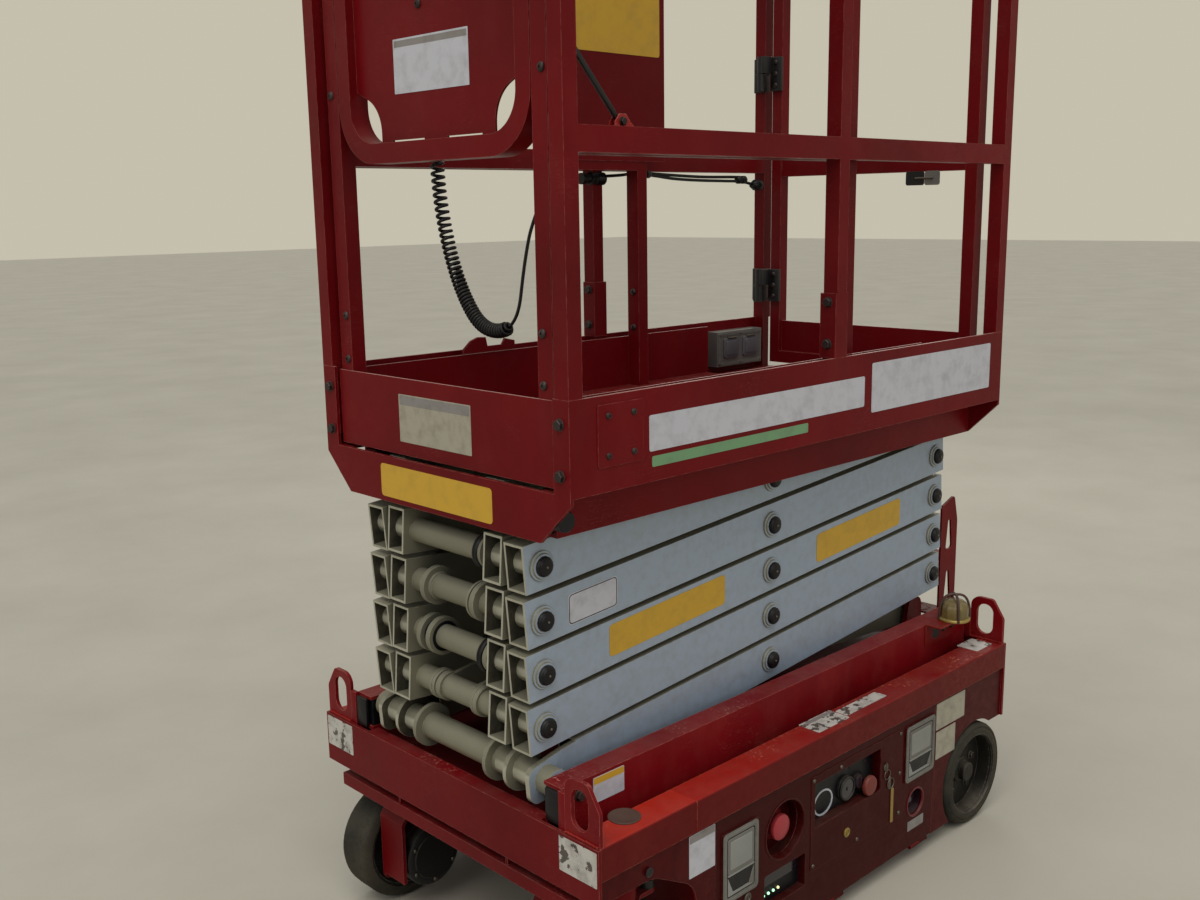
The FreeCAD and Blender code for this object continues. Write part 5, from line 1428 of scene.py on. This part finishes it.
def splineLine(points, name):
    curve = bpy.data.curves.new(name, "CURVE")
    curve.dimensions = "3D"
    spline = curve.splines.new("NURBS")
    spline.points.add(len(points) - 1)
    for slot, point in zip(spline.points, points):
        slot.co = (*point, 1.0)
    spline.order_u = 3
    spline.use_endpoint_u = True
    spline.resolution_u = 24
    holder = linked(name, curve)
    depsgraph = bpy.context.evaluated_depsgraph_get()
    mesh = bpy.data.meshes.new_from_object(holder.evaluated_get(depsgraph))
    line = [v.co.copy() for v in mesh.vertices]
    bpy.data.objects.remove(holder)
    bpy.data.meshes.remove(mesh)
    return line


def alongLine(line):
    # the line's points with their distance from its start
    total = 0.0
    marks = [0.0]
    for a, b in zip(line, line[1:]):
        total += (b - a).length
        marks.append(total)
    return marks


def pointOn(line, marks, distance):
    distance = min(max(distance, 0.0), marks[-1])
    for k in range(len(marks) - 1):
        if distance <= marks[k + 1]:
            share = (distance - marks[k]) / max(marks[k + 1] - marks[k], 1e-9)
            direction = (line[k + 1] - line[k]).normalized()
            return line[k].lerp(line[k + 1], share), direction
    return line[-1], (line[-1] - line[-2]).normalized()


def curlyCord():
    c = cordPlan
    line = splineLine(c["route"], "cord line")
    marks = alongLine(line)
    total = marks[-1]
    across = Vector((1, 0, 0))
    path = []
    distance, turn = 0.0, 0.0
    step = 2 * math.pi / c["perTurn"]
    while distance < c["straightStart"]:
        path.append(pointOn(line, marks, distance)[0])
        distance += 0.004
    ease = 0.012
    while distance < c["coilEnd"]:
        place, direction = pointOn(line, marks, distance)
        other = direction.cross(across).normalized()
        grow = min(1.0, (distance - c["straightStart"]) / ease, (c["coilEnd"] - distance) / ease)
        radius = c["coil"] * max(grow, 0.0)
        path.append(place + radius * (math.cos(turn) * across + math.sin(turn) * other))
        share = (distance - c["straightStart"]) / (c["coilEnd"] - c["straightStart"])
        tight = min(max((share - 0.52) / 0.25, 0.0), 1.0)
        distance += (c["pitchTop"] * (1 - tight) + c["pitchLow"] * tight) / c["perTurn"]
        turn += step
    while distance < total:
        path.append(pointOn(line, marks, distance)[0])
        distance += 0.006
    path.append(line[-1])
    bm = bmesh.new()
    route = [((p.x - middleX) * 1000, p.y * 1000, p.z * 1000) for p in path]
    addPipe(bm, route, c["wire"] * 1000, 8)
    piece = finishPiece("coiled_cord", bm, ["blackPlastic"], "extension", 70)
    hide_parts("curly_cord")


curlyCord()


# Floor, background, light and camera

for part in smallParts.values():
    bpy.data.objects.remove(part)

stagePlan = {
    "floor": (186, 179, 160), "floorSecond": (176, 169, 150), "background": (196, 190, 172),
    "worldTint": (192, 198, 208), "worldLight": 0.6, "size": 40.0, "sun": 1.5,
    "sunFrom": (0.35, 0.25, 1.0), "sunAngle": 0.9,
}


def studio():
    s = stagePlan
    mesh = bpy.data.meshes.new("floor")
    half = s["size"]
    corners = [(-half, -half, 0), (half, -half, 0), (half, half, 0), (-half, half, 0)]
    mesh.from_pydata(corners, [], [(0, 1, 2, 3)])
    floor = linked("floor", mesh)
    material, tree, place = newFinish("pale floor")
    cloud = spread(tree, noise(tree, place, 1.6, 5.0), 0.3, 0.7)
    base = mix(tree, cloud, colour(*s["floor"]), colour(*s["floorSecond"]))
    shader = addNode(tree, "ShaderNodeBsdfPrincipled", {"Base Color": base, "Roughness": 0.8})
    finished(tree, shader)
    mesh.materials.append(material)

    world = bpy.data.worlds.new("studio")
    bpy.context.scene.world = world
    world.use_nodes = True
    tree = world.node_tree
    tree.nodes.clear()
    path = addNode(tree, "ShaderNodeLightPath").outputs
    seen = calculate(tree, "MAXIMUM", path["Is Camera Ray"], path["Is Glossy Ray"])
    seen = calculate(tree, "MAXIMUM", seen, path["Is Transmission Ray"])
    strength = spread(tree, seen, 0.0, 1.0, s["worldLight"], 1.0)
    tint = mix(tree, seen, colour(*s["worldTint"]), colour(*s["background"]))
    background = addNode(tree, "ShaderNodeBackground", {"Color": tint, "Strength": strength})
    addNode(tree, "ShaderNodeOutputWorld", {"Surface": background.outputs[0]})


def lamp(name, place, target, size, power, tint=(1, 1, 1)):
    data = bpy.data.lights.new(name, "AREA")
    data.shape = "RECTANGLE"
    data.size, data.size_y = size
    data.energy = power
    data.color = tint
    light = linked(name, data)
    light.location = place
    light.rotation_euler = (Vector(target) - Vector(place)).to_track_quat("-Z", "Y").to_euler()


def camera():
    data = bpy.data.cameras.new("camera")
    data.sensor_width = 36.0
    data.sensor_fit = "HORIZONTAL"
    data.lens = 36.75
    data.clip_start, data.clip_end = 0.05, 60.0
    right = Vector((-0.71796, 0.69591, -0.01511))
    up = Vector((-0.14524, -0.12854, 0.98102))
    back = Vector((0.68076, 0.70653, 0.19337))
    turn = Matrix((right, up, back)).transposed()
    viewer = linked("camera", data)
    viewer.matrix_world = Matrix.Translation((1.8373, 1.6109, 1.3348)) @ turn.to_4x4()
    bpy.context.scene.camera = viewer


def sun():
    s = stagePlan
    data = bpy.data.lights.new("sun", "SUN")
    data.energy = s["sun"]
    data.angle = s["sunAngle"]
    light = linked("sun", data)
    light.rotation_euler = (-Vector(s["sunFrom"])).to_track_quat("-Z", "Y").to_euler()


studio()
sun()
lamp("front", (4.2, 0.6, 2.4), (0, 0, 0.9), (2.4, 2.0), 20)
lamp("side", (0.6, 4.4, 2.4), (0, 0, 0.8), (2.6, 1.8), 20)
lamp("back", (-3.6, -2.4, 3.2), (0, 0, 1.0), (2.0, 2.0), 25)
camera()
bpy.context.scene.view_settings.view_transform = "Standard"
print("stage, lamps and camera set")
